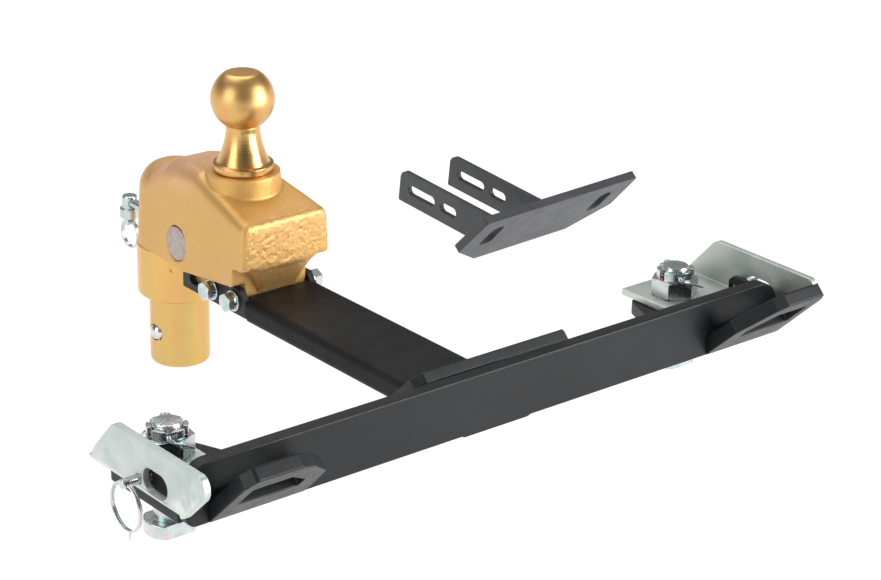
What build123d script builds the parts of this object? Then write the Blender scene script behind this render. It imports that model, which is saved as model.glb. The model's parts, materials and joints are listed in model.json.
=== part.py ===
from build123d import *
from math import cos, radians, sin, sqrt, tan
import os

# Gooseneck hitch: a ball head on a locking shank, a push-pull crossbar with two
# anchors for the bed, two safety chain loops and a loose mounting bracket.
# Millimetres. The origin is on the shank's axis at the shoulder under the collar.
# X runs along the crossbar, +Y points from the crossbar to the head, +Z is up.

os.makedirs("parts", exist_ok=True)

SIDES = ((-1, "left"), (1, "right"))

# Clearances
running_gap = 0.3
bore_gap = 0.05
flat_gap = 0.15
tongue_gap = 1.2
groove_gap = 1.2

# Small bevels, and how far a cutting shape reaches past what it cuts
edge_break = 0.8
thread_chamfer = 1.5
overcut = 20.0
cutter = 400.0

# Shank and its lock
shank_radius = 29.1
shank_length = 71.0
shank_socket = 40.0
shank_toe = 4.0
shank_floor = 13.0
lock_ball_radius = 9.5
lock_ball_z = -37.5
lock_ball_proud = 3.2
lock_ball_travel = 3.0
lock_lip = 1.0
pull_travel = 10.0
cone_rise = 6.0
cam_land = 12.0
cam_taper = 5.0
cam_tail = 10.0
cam_web_gap = 2.0

# Head casting
collar_radius = 39.9
collar_height = 52.0
collar_toe = 9.0
casting_rear_radius = 38.8
casting_front_half = 52.0
casting_length = 178.0
casting_draft = 3.2
nose_round = 6.0
# Distance in front of the shank, height of the crown, radius of its shoulders
casting_stations = (
    (0.0, 133.0, 26.0),
    (30.0, 147.5, 22.0),
    (55.0, 152.5, 18.0),
    (87.0, 153.0, 14.0),
    (118.0, 143.5, 12.0),
    (casting_length, 128.0, 9.0),
)
skirt_rear_setback = 70.0
skirt_front_setback = 165.0
skirt_rise = 15.0
right_skirt_setback = 130.0
right_skirt_slant = 8.0
nose_height = 84.0
tongue_half = 34.0
tongue_tip_half = 19.0
tongue_waist_half = 24.0
tongue_waist_rise = 14.0
tongue_thickness = 26.0
tongue_lap = 4.0
tongue_lip = 2.0
tongue_step = 13.0
tongue_step_height = 27.0
lug_lap = 3.0
lug_wall = 3.5
groove_spare = 7.0
plug_radius = 17.0
plug_depth = 10.0
plug_face = 42.0
plug_setback = 60.0
plug_z = 76.0

# Ball
ball_radius = 29.37
ball_setback = 110.7
ball_centre_z = 223.6
ball_flat_height = 25.0
boss_top = 156.0
boss_radius = 34.0
boss_flare = 2.0
boss_root = 126.0
ball_foot_radius = 28.2
ball_foot_height = 7.5
ball_root_radius = 24.4
ball_neck_radius = 15.6
ball_neck_z = 194.0
ball_waist_radius = 18.6
ball_waist_z = 179.0
stud_radius = 15.875
pocket_radius = 29.5
pocket_roof = 112.0
ball_washer_thickness = 3.5
ball_washer_radius = 27.5
ball_nut_flats = 47.6
ball_nut_height = 27.0
thread_tail = 3.5

# Straps and their bolts
arm_half = 34.65
strap_thickness = 6.35
strap_height = 25.4
strap_mid = 49.1
strap_rear = 69.0
strap_lap = 5.0
strap_end_height = 16.0
strap_slope_run = 33.0
strap_slot_rear = 80.0
strap_nose_run = 10.0
strap_nose_drop = 11.8
strap_rounds = (1.0, 1.0, 1.0, 4.0, 2.0, 1.0)
adjust_travel = 4.0
slot_spare = 0.5
bolt_radius = 5.0
bolt_setbacks = (118.0, 152.0)
bolt_head_flats = 16.0
bolt_head_height = 6.4
bolt_nut_height = 8.4
bolt_tail = 3.0
washer_radius = 10.0
washer_thickness = 2.5
spring_washer_radius = 8.6
spring_washer_thickness = 2.2

# Arm and crossbar
arm_bottom = 31.5
arm_height = 23.8
arm_round = 8.0
arm_neck_round = 3.0
bar_half = 318.0
bar_back = 473.8
bar_thickness = 12.7
bar_bottom = 40.1
bar_height = 51.8
bar_top_round = 22.0
bar_bottom_round = 9.0
gusset_half = 84.0
gusset_thickness = 9.5
gusset_corner = 8.0
same_length = 0.01
plate_angle = 44.0

# Pads at the bar's ends
pad_thickness = 12.7
pad_rear = 374.0
pad_round = 8.0
# Distance in from the bar's end and in front of the shank
pad_inner_edge = ((73.0, pad_rear), (86.0, pad_rear + 32.0), (113.0, bar_back))

# Safety chain loops, as points across X and up the slope
loop_thickness = 12.7
loop_left_inset = 110.0
loop_right_inset = 86.0
loop_outline = ((0, 0), (0, 16), (3, 45), (30, 74), (42, 79), (84, 80), (91, 68), (90, 0))
loop_window = ((20, 27), (20, 39), (43, 60), (79, 60), (78, 29))
loop_window_round = 3.0

# Anchors
anchor_inset = 41.4
anchor_setback = 398.2
anchor_radius = 12.7
anchor_top = 87.6
anchor_bottom = -8.0
anchor_foot_radius = 21.0
anchor_foot_height = 12.0
anchor_foot_flats = 32.0
anchor_shoulder_radius = 19.0
anchor_shoulder_height = 5.7
castle_flats = 38.1
castle_hex_height = 17.0
castle_crown_height = 8.0
castle_crown_radius = 17.0
castle_slot = 5.5
castle_slot_turns = (0, 60, 120)
cotter_radius = 2.0
cotter_heading = 240.0
cotter_head = 3.0
cotter_tail_reach = 4.0
cotter_tail_lean = 9.0
cotter_tail_rise = 17.0
cotter_bend = 4.0
cotter_eye_radius = 4.0
cotter_eye_wire = 1.6
cotter_eye_gap = 3.5

# Levers
lever_thickness = 6.35
lever_overhang = 8.0
lever_width = 72.0
# The right end stands further out, because the loop there reaches past the bar
end_shift = {"left": 0.0, "right": 8.0}
lever_front = 424.0
lever_rear = 361.0
lever_height = 45.7
lever_rounds = (8.0, 12.0, 8.0, 12.0, 12.0)
lever_window_length = 34.0
lever_window_height = 20.0
lever_window_setback = 455.0
lever_window_z = 69.0
# Distance in front of the shank and height above the leg's underside
lever_upright = (
    (355.0, 0.0),
    (397.0, lever_height),
    (518.0, lever_height),
    (524.0, 31.0),
    (492.0, 0.0),
)

# Lock pins, tabs and pull rings
pin_radius = 4.0
pin_setback = 431.5
pin_z = 64.0
pin_travel = 8.0
pin_hidden = 1.0
pin_stick_out = 15.5
pin_ring_gap = 1.4
pin_chamfer = 0.6
tab_thickness = 5.0
tab_inset = 2.0
tab_rear = 425.0
tab_top = 76.0
tab_chamfer = 5.0
ring_wire = 1.6
ring_gap = 0.7
lock_ring_radius = 20.0
release_ring_radius = 14.0

# Release pin behind the head
release_z = 66.0
release_radius = 4.75
release_reach = 83.5
knob_y = 84.5
knob_radius = 7.6
knob_top = 72.8
knob_flange_radius = 10.0
knob_flange_height = 10.0
knob_flange_bottom = 50.0
knob_chamfer = 1.2
eye_length = 8.0
eye_thickness = 5.0
eye_wall = 1.2
tongue_web = 5.0
tongue_reach = 11.0
fork_thickness = 3.5
fork_height = 5.0
fork_bridge = 4.3
fork_wall = 1.3
fork_root_gap = 0.7
fork_end_gap = 1.0
dowel_radius = 3.0
dowel_setback = 0.2
seat_rise = 22.0
seat_thickness = 4.0
seat_radius = 12.0
spring_radius = 8.0
spring_wall = 2.0
spring_length = 30.0

# Loose bracket, standing on its lower edge
bracket_x = 469.1
bracket_y = 33.2
bracket_turn = 3.56
bracket_lean = 46.6
bracket_arm_tilt = 6.0
bracket_thickness = 9.5
bracket_outline = (
    (-70.5, 0),
    (70.5, 0),
    (116.5, 35.4),
    (113.7, 94.3),
    (-113.7, 94.3),
    (-116.5, 35.4),
)
bracket_corner = 3.0
bracket_slot_x = 81.7
bracket_slot_up = 56.0
bracket_slot_length = 38.0
bracket_slot_width = 18.0
bracket_arm_height = 37.0
bracket_arm_reach = 154.0
bracket_arm_rise = 20.0
bracket_arm_corner = 9.0
bracket_arm_toe = 2.0
bracket_arm_root = 60.0
bracket_long_slot = (118.0, 44.0)
bracket_short_slot = (74.0, 26.0)
bracket_block_reach = 16.0
bracket_block_height = 24.0

# Sizes worked out from the ones above
draft_slope = tan(radians(casting_draft))
strap_bottom = strap_mid - strap_height / 2
strap_top = strap_mid + strap_height / 2
strap_outer = arm_half + strap_thickness
slot_height = 2 * (bolt_radius + slot_spare)
short_slot_length = 2 * (bolt_radius + slot_spare + adjust_travel)
long_slot_front = bolt_setbacks[0] + bolt_radius + slot_spare + adjust_travel
lug_rear = strap_rear - lug_lap
lug_front = bolt_setbacks[1] + bolt_radius + lug_wall
arm_rear = lug_front + adjust_travel + slot_spare
strap_front = arm_rear + strap_lap
arm_top = arm_bottom + arm_height
bar_front = bar_back + bar_thickness
bar_top = bar_bottom + bar_height
anchor_x = bar_half - anchor_inset
lever_outer = bar_half + lever_overhang
lever_inner = lever_outer - lever_width
tab_outer = bar_half - tab_inset
loop_left_inner = bar_half - loop_left_inset
loop_right_inner = bar_half - loop_right_inset
pad_top = bar_bottom + pad_thickness
lever_bottom = pad_top + running_gap
lever_top = lever_bottom + lever_thickness
castle_top = lever_top + castle_hex_height + castle_crown_height
cotter_z = castle_top - castle_crown_height / 2
lock_ball_x = shank_radius + lock_ball_proud - lock_ball_radius
cone_slope = lock_ball_travel / pull_travel
cone_gap = running_gap * sqrt(1 + cone_slope ** 2)
cone_radius = lock_ball_x - (lock_ball_radius * sqrt(1 + cone_slope ** 2)) - cone_gap
cone_low_radius = cone_radius - lock_ball_travel
cam_radius = cone_radius + cone_slope * cone_rise
cam_bore_radius = cam_radius + running_gap
cam_bottom = lock_ball_z - pull_travel - cam_tail
web_bottom = shank_socket - cam_web_gap
seat_top = release_z + seat_rise
cavity_top = seat_top + spring_length
fork_half = tongue_web + running_gap + fork_thickness
fork_root = tongue_reach + fork_root_gap
fork_back = fork_root + fork_bridge
dowel_y = -pull_travel / 2
fork_tip = dowel_y - dowel_radius - fork_wall
fork_channel_radius = sqrt(fork_half ** 2 + fork_height ** 2) + running_gap
release_bore_radius = release_radius + running_gap
ring_hole = ring_wire + ring_gap
pin_ring_offset = pin_travel + ring_wire + pin_ring_gap
eye_hole_z = knob_flange_bottom - ring_hole - eye_wall


def save(piece, name):
    piece.part.label = name
    export_step(piece.part, f"parts/{name}.step")


# Head casting
with BuildPart() as head_casting:
    with BuildSketch():
        Circle(collar_radius)
    extrude(amount=collar_height)
    fillet(head_casting.edges().filter_by(GeomType.CIRCLE).sort_by(Axis.Z)[0], collar_toe)

    # The body swells and slopes from station to station
    for setback, crown_z, shoulder in casting_stations:
        swell = (casting_front_half - casting_rear_radius) * setback / casting_length
        foot_half = casting_rear_radius + swell
        crown_half = foot_half - (crown_z - collar_height) * draft_slope
        with BuildSketch(Plane.XZ.offset(setback)):
            with BuildLine():
                FilletPolyline(
                    (-foot_half, collar_height),
                    (-crown_half, crown_z),
                    (crown_half, crown_z),
                    (foot_half, collar_height),
                    radius=shoulder,
                )
                Line((foot_half, collar_height), (-foot_half, collar_height))
            make_face()
    loft(ruled=True)
    fillet(head_casting.faces().sort_by(Axis.Y)[0].edges(), nose_round)

    # Half round back with the same shoulder
    rear_crown_z = casting_stations[0][1]
    rear_crown_radius = casting_rear_radius - (rear_crown_z - collar_height) * draft_slope
    with BuildSketch(Plane.XZ):
        with BuildLine():
            FilletPolyline(
                (casting_rear_radius, collar_height),
                (rear_crown_radius, rear_crown_z),
                (0, rear_crown_z),
                radius=casting_stations[0][2],
            )
            Polyline(
                (0, rear_crown_z),
                (0, collar_height),
                (casting_rear_radius, collar_height),
            )
        make_face()
    revolve(axis=Axis.Z, revolution_arc=180)

    # Boss under the ball
    with BuildSketch(Plane.XZ.offset(ball_setback)):
        with BuildLine():
            Polyline(
                (0, boss_root),
                (boss_radius + boss_flare, boss_root),
                (boss_radius, boss_top),
                (0, boss_top),
                close=True,
            )
        make_face()
    revolve(axis=Axis((0, -ball_setback, 0), (0, 0, 1)))

    # Underside that rises towards the nose
    with BuildSketch(Plane.YZ):
        with BuildLine():
            Polyline(
                (-skirt_rear_setback, collar_height),
                (-skirt_front_setback, collar_height + skirt_rise),
                (-casting_length, nose_height),
                (-casting_length - overcut, nose_height),
                (-casting_length - overcut, collar_height - overcut),
                (-skirt_rear_setback, collar_height - overcut),
                close=True,
            )
        make_face()
    extrude(amount=casting_front_half + overcut, both=True, mode=Mode.SUBTRACT)

    # The right skirt stops short of the nose
    with BuildSketch(Plane.YZ.offset(arm_half - running_gap)):
        with BuildLine():
            Polyline(
                (-right_skirt_setback, collar_height - overcut),
                (-right_skirt_setback - right_skirt_slant, nose_height),
                (-casting_length - overcut, nose_height),
                (-casting_length - overcut, collar_height - overcut),
                close=True,
            )
        make_face()
    extrude(amount=casting_front_half + overcut - arm_half, mode=Mode.SUBTRACT)

    # Lug between the straps
    with BuildSketch(Plane.YZ):
        with BuildLine():
            Polyline(
                (-lug_rear, strap_bottom),
                (-lug_rear, nose_height),
                (-lug_front, nose_height),
                (-lug_front, strap_bottom),
                close=True,
            )
        make_face()
    extrude(amount=arm_half - running_gap, both=True)

    # Tongue that hangs over the arm
    with BuildSketch(Plane.YZ):
        with BuildLine():
            Polyline(
                (-casting_length + tongue_thickness, arm_top + tongue_gap),
                (-casting_length + tongue_step, arm_top + tongue_gap),
                (-casting_length + tongue_lip, arm_top + tongue_step_height),
                (-casting_length + tongue_lip, nose_height + tongue_lap),
                (-casting_length + tongue_thickness, nose_height + tongue_lap),
                close=True,
            )
        make_face()
    extrude(amount=tongue_half, both=True)

    # The tongue narrows downwards in front of the lug
    tongue_bottom = arm_top + tongue_gap
    for side, hand in SIDES:
        with BuildSketch(Plane.XZ.offset(lug_front)):
            with BuildLine():
                ThreePointArc(
                    (side * tongue_half, nose_height),
                    (side * tongue_waist_half, tongue_bottom + tongue_waist_rise),
                    (side * tongue_tip_half, tongue_bottom),
                )
                Polyline(
                    (side * tongue_tip_half, tongue_bottom),
                    (side * tongue_tip_half, tongue_bottom - overcut),
                    (side * (tongue_half + overcut), tongue_bottom - overcut),
                    (side * (tongue_half + overcut), nose_height),
                    (side * tongue_half, nose_height),
                )
            make_face()
        extrude(amount=casting_length - lug_front + overcut, mode=Mode.SUBTRACT)

    # Grooves for the straps
    groove_half = strap_thickness + 2 * running_gap
    groove_rear = strap_rear - adjust_travel - groove_spare
    groove_slope = (strap_height - strap_end_height) / strap_slope_run
    groove_top = strap_top + groove_gap
    groove_low = collar_height + groove_gap
    for side, hand in SIDES:
        groove_start = side * (arm_half - running_gap + groove_half / 2) - groove_half / 2
        with BuildSketch(Plane.YZ.offset(groove_start)):
            with BuildLine():
                Polyline(
                    (-groove_rear, strap_bottom - overcut),
                    (-groove_rear, groove_low),
                    (-groove_rear - (groove_top - groove_low) / groove_slope, groove_top),
                    (-casting_length - overcut, groove_top),
                    (-casting_length - overcut, strap_bottom - overcut),
                    close=True,
                )
            make_face()
        extrude(amount=groove_half, mode=Mode.SUBTRACT)

    # Ball stud hole with the nut's pocket below it
    with BuildSketch(Plane.XY.offset(boss_top)):
        with Locations((0, -ball_setback)):
            Circle(stud_radius + bore_gap)
    extrude(amount=pocket_roof - boss_top, mode=Mode.SUBTRACT)
    with BuildSketch(Plane.XY.offset(pocket_roof)):
        with Locations((0, -ball_setback)):
            Circle(pocket_radius)
    extrude(amount=strap_bottom - overcut - pocket_roof, mode=Mode.SUBTRACT)

    # Strap bolt holes
    with BuildSketch(Plane.YZ):
        with Locations(*[(-setback, strap_mid) for setback in bolt_setbacks]):
            Circle(bolt_radius + running_gap)
    extrude(amount=arm_half, both=True, mode=Mode.SUBTRACT)

    # Shank socket, cam cavity, fork channel and release pin bore
    with BuildSketch():
        Circle(shank_radius)
    extrude(amount=shank_socket, mode=Mode.SUBTRACT)
    with BuildSketch():
        Circle(cam_bore_radius)
    extrude(amount=cavity_top, mode=Mode.SUBTRACT)
    with BuildSketch(Plane.XZ):
        with Locations((0, release_z)):
            Circle(fork_channel_radius)
    extrude(amount=-(fork_back + pull_travel + fork_end_gap), mode=Mode.SUBTRACT)
    with BuildSketch(Plane.XZ):
        with Locations((0, release_z)):
            Circle(release_bore_radius)
    extrude(amount=-(collar_radius + overcut), mode=Mode.SUBTRACT)

    # Seats of the side plugs
    for side, hand in SIDES:
        with BuildSketch(Plane.YZ.offset(side * (plug_face - plug_depth))):
            with Locations((-plug_setback, plug_z)):
                Circle(plug_radius)
        extrude(amount=side * (plug_depth + overcut), mode=Mode.SUBTRACT)
save(head_casting, "head_casting")

for side, hand in SIDES:
    with BuildPart() as side_plug:
        with BuildSketch(Plane.YZ.offset(side * (plug_face - plug_depth))):
            with Locations((-plug_setback, plug_z)):
                Circle(plug_radius)
        extrude(amount=side * plug_depth)
        chamfer(side_plug.faces().sort_by(Axis.X)[0 if side < 0 else -1].edges(), edge_break)
    save(side_plug, f"side_plug_{hand}")

# Shank with its stepped windows, whose lips keep the lock balls in
with BuildPart() as shank:
    with BuildSketch(Plane.XY.offset(-shank_length)):
        Circle(shank_radius)
    extrude(amount=shank_length + shank_socket)
    fillet(shank.edges().filter_by(GeomType.CIRCLE).sort_by(Axis.Z)[0], shank_toe)
    with BuildSketch(Plane.XY.offset(shank_socket)):
        Circle(cam_bore_radius)
    extrude(amount=shank_floor - shank_length - shank_socket, mode=Mode.SUBTRACT)
    with BuildSketch(Plane.YZ):
        with Locations((0, lock_ball_z)):
            Circle(lock_ball_radius + running_gap)
    extrude(amount=shank_radius - lock_lip, both=True, mode=Mode.SUBTRACT)
    lip_offset = shank_radius - lock_lip - lock_ball_x
    lip_radius = sqrt(lock_ball_radius ** 2 - lip_offset ** 2) + running_gap
    with BuildSketch(Plane.YZ):
        with Locations((0, lock_ball_z)):
            Circle(lip_radius)
    extrude(amount=shank_radius + overcut, both=True, mode=Mode.SUBTRACT)
save(shank, "shank")

for side, hand in SIDES:
    with BuildPart() as lock_ball:
        with Locations((side * lock_ball_x, 0, lock_ball_z)):
            Sphere(lock_ball_radius)
    save(lock_ball, f"lock_ball_{hand}")

# Cam rod: a cone between the balls, two guide lands and a flat web with a slanted slot
with BuildPart() as cam_rod:
    cone_top = lock_ball_z + cone_rise
    with BuildSketch(Plane.XZ):
        with BuildLine():
            Polyline(
                (0, cam_bottom),
                (cone_low_radius, cam_bottom),
                (cone_low_radius, lock_ball_z - pull_travel),
                (cam_radius, cone_top),
                (cam_radius, cone_top + cam_land),
                (cone_low_radius, cone_top + cam_land + cam_taper),
                (cone_low_radius, shank_socket - cam_land - cam_taper),
                (cam_radius, shank_socket - cam_land),
                (cam_radius, web_bottom),
                (0, web_bottom),
                close=True,
            )
        make_face()
    revolve(axis=Axis.Z)
    with BuildSketch(Plane.XY.offset(web_bottom)):
        Rectangle(2 * tongue_web, 2 * tongue_reach)
    extrude(amount=seat_top - web_bottom)
    with BuildSketch(Plane.XY.offset(seat_top)):
        Circle(seat_radius)
    extrude(amount=-seat_thickness)
    with BuildSketch(Plane.YZ):
        with Locations((0, release_z - pull_travel / 2)):
            SlotCenterToCenter(
                pull_travel * sqrt(2), 2 * (dowel_radius + running_gap), rotation=-45
            )
    extrude(amount=tongue_web + overcut, both=True, mode=Mode.SUBTRACT)
save(cam_rod, "cam_rod")

with BuildPart() as cam_spring:
    with BuildSketch(Plane.XY.offset(seat_top)):
        Circle(spring_radius)
        Circle(spring_radius - spring_wall, mode=Mode.SUBTRACT)
    extrude(amount=spring_length)
save(cam_spring, "cam_spring")

# Release pin with the fork that carries the dowel
with BuildPart() as release_pin:
    with BuildSketch(Plane.XZ.offset(-fork_root)):
        with Locations((0, release_z)):
            Circle(release_radius)
    extrude(amount=-(release_reach - fork_root))
    with BuildSketch(Plane.XY.offset(release_z - fork_height)):
        with BuildLine():
            Polyline(
                (-fork_half, fork_tip),
                (fork_half, fork_tip),
                (fork_half, fork_back),
                (-fork_half, fork_back),
                close=True,
            )
        make_face()
        with BuildLine():
            Polyline(
                (-tongue_web - running_gap, fork_tip - overcut),
                (tongue_web + running_gap, fork_tip - overcut),
                (tongue_web + running_gap, fork_root),
                (-tongue_web - running_gap, fork_root),
                close=True,
            )
        make_face(mode=Mode.SUBTRACT)
    extrude(amount=2 * fork_height)
    with BuildSketch(Plane.YZ):
        with Locations((dowel_y, release_z)):
            Circle(dowel_radius)
    extrude(amount=fork_half + overcut, both=True, mode=Mode.SUBTRACT)
    chamfer(release_pin.faces().sort_by(Axis.Y)[-1].edges(), edge_break)
save(release_pin, "release_pin")

with BuildPart() as cross_dowel:
    with BuildSketch(Plane.YZ):
        with Locations((dowel_y, release_z)):
            Circle(dowel_radius)
    extrude(amount=fork_half - dowel_setback, both=True)
save(cross_dowel, "cross_dowel")

# Knob on the release pin, with an eye for the pull ring
with BuildPart() as release_knob:
    with BuildSketch(Plane.XY.offset(knob_flange_bottom)):
        with Locations((0, knob_y)):
            Circle(knob_flange_radius)
    extrude(amount=knob_flange_height)
    with BuildSketch(Plane.XY.offset(knob_flange_bottom + knob_flange_height)):
        with Locations((0, knob_y)):
            Circle(knob_radius)
    extrude(amount=knob_top - knob_flange_bottom - knob_flange_height)
    chamfer(release_knob.edges().filter_by(GeomType.CIRCLE).sort_by(Axis.Z)[-1], knob_chamfer)
    with BuildSketch(Plane.XY.offset(knob_flange_bottom)):
        with Locations((0, knob_y)):
            Rectangle(2 * eye_thickness, eye_thickness)
    extrude(amount=-eye_length)
    with BuildSketch(Plane.XZ.offset(-knob_y)):
        with Locations((0, eye_hole_z)):
            Circle(ring_hole)
    extrude(amount=eye_thickness, both=True, mode=Mode.SUBTRACT)
    with BuildSketch(Plane.XZ.offset(-release_reach)):
        with Locations((0, release_z)):
            Circle(release_radius)
    extrude(amount=knob_radius + overcut, mode=Mode.SUBTRACT)
save(release_knob, "release_knob")

with BuildPart() as release_ring:
    with Locations(Location((0, knob_y, eye_hole_z - release_ring_radius), (0, 90, 0))):
        Torus(release_ring_radius, ring_wire)
save(release_ring, "release_ring")

# Ball with its foot and stud in one piece
with BuildPart() as hitch_ball:
    foot_top = boss_top + ball_foot_height
    neck_meets_ball = ball_centre_z - sqrt(ball_radius ** 2 - ball_neck_radius ** 2)
    flat_radius = sqrt(ball_radius ** 2 - ball_flat_height ** 2)
    stud_end = pocket_roof - ball_washer_thickness - ball_nut_height - thread_tail
    with BuildSketch(Plane.XZ.offset(ball_setback)):
        with BuildLine():
            Polyline(
                (0, ball_centre_z + ball_flat_height),
                (0, stud_end),
                (stud_radius - thread_chamfer, stud_end),
                (stud_radius, stud_end + thread_chamfer),
                (stud_radius, boss_top),
                (ball_foot_radius, boss_top),
                (ball_foot_radius, foot_top - edge_break),
                (ball_foot_radius - edge_break, foot_top),
                (ball_root_radius, foot_top),
            )
            ThreePointArc(
                (ball_root_radius, foot_top),
                (ball_waist_radius, ball_waist_z),
                (ball_neck_radius, ball_neck_z),
            )
            Line((ball_neck_radius, ball_neck_z), (ball_neck_radius, neck_meets_ball))
            ThreePointArc(
                (ball_neck_radius, neck_meets_ball),
                (ball_radius, ball_centre_z),
                (flat_radius, ball_centre_z + ball_flat_height),
            )
            Line(
                (flat_radius, ball_centre_z + ball_flat_height),
                (0, ball_centre_z + ball_flat_height),
            )
        make_face()
    revolve(axis=Axis((0, -ball_setback, 0), (0, 0, 1)))
save(hitch_ball, "hitch_ball")

with BuildPart() as ball_washer:
    with BuildSketch(Plane.XY.offset(pocket_roof)):
        with Locations((0, -ball_setback)):
            Circle(ball_washer_radius)
            Circle(stud_radius + bore_gap, mode=Mode.SUBTRACT)
    extrude(amount=-ball_washer_thickness)
save(ball_washer, "ball_washer")

with BuildPart() as ball_nut:
    with BuildSketch(Plane.XY.offset(pocket_roof - ball_washer_thickness)):
        with Locations((0, -ball_setback)):
            RegularPolygon(ball_nut_flats / 2, 6, major_radius=False)
            Circle(stud_radius, mode=Mode.SUBTRACT)
    extrude(amount=-ball_nut_height)
save(ball_nut, "ball_nut")

# Strap fasteners: heads on the left, nuts on the right
washer_face = strap_outer + flat_gap
spring_washer_face = washer_face + washer_thickness
clamp_face = spring_washer_face + spring_washer_thickness
bolt_places = [(-setback, strap_mid) for setback in bolt_setbacks]

with BuildPart() as strap_bolts:
    with BuildSketch(Plane.YZ.offset(-clamp_face)):
        with Locations(*bolt_places):
            RegularPolygon(bolt_head_flats / 2, 6, major_radius=False, rotation=30)
    extrude(amount=-bolt_head_height)
    with BuildSketch(Plane.YZ.offset(-clamp_face)):
        with Locations(*bolt_places):
            Circle(bolt_radius)
    extrude(amount=2 * clamp_face + bolt_nut_height + bolt_tail)
save(strap_bolts, "strap_bolts")

with BuildPart() as strap_washers:
    for side, hand in SIDES:
        with BuildSketch(Plane.YZ.offset(side * washer_face)):
            with Locations(*bolt_places):
                Circle(washer_radius)
                Circle(bolt_radius + bore_gap, mode=Mode.SUBTRACT)
        extrude(amount=side * washer_thickness)
save(strap_washers, "strap_washers")

with BuildPart() as spring_washers:
    for side, hand in SIDES:
        with BuildSketch(Plane.YZ.offset(side * spring_washer_face)):
            with Locations(*bolt_places):
                Circle(spring_washer_radius)
                Circle(bolt_radius + bore_gap, mode=Mode.SUBTRACT)
        extrude(amount=side * spring_washer_thickness)
save(spring_washers, "spring_washers")

with BuildPart() as strap_nuts:
    with BuildSketch(Plane.YZ.offset(clamp_face)):
        with Locations(*bolt_places):
            RegularPolygon(bolt_head_flats / 2, 6, major_radius=False, rotation=30)
            Circle(bolt_radius, mode=Mode.SUBTRACT)
    extrude(amount=bolt_nut_height)
save(strap_nuts, "strap_nuts")

# Slotted straps, one on each side of the arm
for side, hand in SIDES:
    with BuildPart() as strap:
        with BuildSketch(Plane.YZ.offset(side * arm_half)):
            with BuildLine():
                FilletPolyline(
                    (-strap_rear, strap_bottom),
                    (-strap_rear, strap_bottom + strap_end_height),
                    (-strap_rear - strap_slope_run, strap_top),
                    (-strap_front + strap_nose_run, strap_top),
                    (-strap_front, strap_top - strap_nose_drop),
                    (-strap_front, strap_bottom),
                    radius=strap_rounds,
                    close=True,
                )
            make_face()
            long_slot_length = long_slot_front - strap_slot_rear
            with Locations((-(long_slot_front + strap_slot_rear) / 2, strap_mid)):
                SlotOverall(long_slot_length, slot_height, mode=Mode.SUBTRACT)
            with Locations((-bolt_setbacks[1], strap_mid)):
                SlotOverall(short_slot_length, slot_height, mode=Mode.SUBTRACT)
        extrude(amount=side * strap_thickness)
    save(strap, f"strap_{hand}")

# Arm from the straps to the crossbar, with a neck that fits between the straps
with BuildPart() as arm_bar:
    with BuildSketch(Plane.XZ.offset(arm_rear)):
        with Locations((0, arm_bottom + arm_height / 2)):
            RectangleRounded(2 * arm_half, arm_height, arm_neck_round)
    extrude(amount=strap_lap)
    with BuildSketch(Plane.XZ.offset(strap_front)):
        with Locations((0, arm_bottom + arm_height / 2)):
            RectangleRounded(2 * strap_outer, arm_height, arm_round)
    extrude(amount=bar_back - strap_front)
save(arm_bar, "arm_bar")

with BuildPart() as crossbar:
    with BuildSketch(Plane.XZ.offset(bar_back)):
        with BuildLine():
            FilletPolyline(
                (-bar_half, bar_bottom),
                (bar_half, bar_bottom),
                (bar_half, bar_top),
                (-bar_half, bar_top),
                radius=(bar_bottom_round, bar_bottom_round, bar_top_round, bar_top_round),
                close=True,
            )
        make_face()
    extrude(amount=bar_thickness)
    chamfer(crossbar.edges().filter_by(GeomType.LINE).filter_by(Axis.X), edge_break)
save(crossbar, "crossbar")

# Gusset that leans from the arm's top against the bar's back
gusset_lean = tan(radians(plate_angle))
gusset_foot = bar_back - (bar_top - arm_top) / gusset_lean
gusset_lap = gusset_thickness / sin(radians(plate_angle))
gusset_up = gusset_thickness * cos(radians(plate_angle))
gusset_back = gusset_thickness * sin(radians(plate_angle))
with BuildPart() as gusset_plate:
    with BuildSketch(Plane.YZ):
        with BuildLine():
            Polyline(
                (-gusset_foot, arm_top),
                (-bar_back, bar_top),
                (-bar_back + gusset_back, bar_top + gusset_up),
                (-gusset_foot + gusset_lap, arm_top),
                close=True,
            )
        make_face()
    extrude(amount=gusset_half, both=True)
    top_corners = gusset_plate.edges().filter_by(GeomType.LINE)
    top_corners = top_corners.filter_by(
        lambda edge: abs(edge.length - gusset_thickness) < same_length
    )
    chamfer(top_corners, gusset_corner)
save(gusset_plate, "gusset_plate")

# Pads that carry the anchors
pad_inner_outline = tuple((bar_half - inset, setback) for inset, setback in pad_inner_edge)
for side, hand in SIDES:
    outer_edge = bar_half + end_shift[hand]
    outline = ((outer_edge, bar_back), (outer_edge, pad_rear)) + pad_inner_outline
    with BuildPart() as pad:
        with BuildSketch(Plane.XY.offset(bar_bottom)):
            with BuildLine():
                FilletPolyline(
                    *[(side * across, -setback) for across, setback in outline],
                    radius=(0, pad_round, pad_round, pad_round, 0),
                    close=True,
                )
            make_face()
            with Locations((side * anchor_x, -anchor_setback)):
                Circle(anchor_radius + running_gap, mode=Mode.SUBTRACT)
        extrude(amount=pad_thickness)
    save(pad, f"pad_{hand}")

for side, hand in SIDES:
    with BuildPart() as lock_tab:
        with BuildSketch(Plane.YZ.offset(side * (tab_outer + end_shift[hand] - tab_thickness))):
            with BuildLine():
                Polyline(
                    (-bar_back, pad_top),
                    (-bar_back, tab_top),
                    (-tab_rear - tab_chamfer, tab_top),
                    (-tab_rear, tab_top - tab_chamfer),
                    (-tab_rear, pad_top),
                    close=True,
                )
            make_face()
            with Locations((-pin_setback, pin_z)):
                Circle(pin_radius + running_gap, mode=Mode.SUBTRACT)
        extrude(amount=side * tab_thickness)
    save(lock_tab, f"lock_tab_{hand}")

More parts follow.
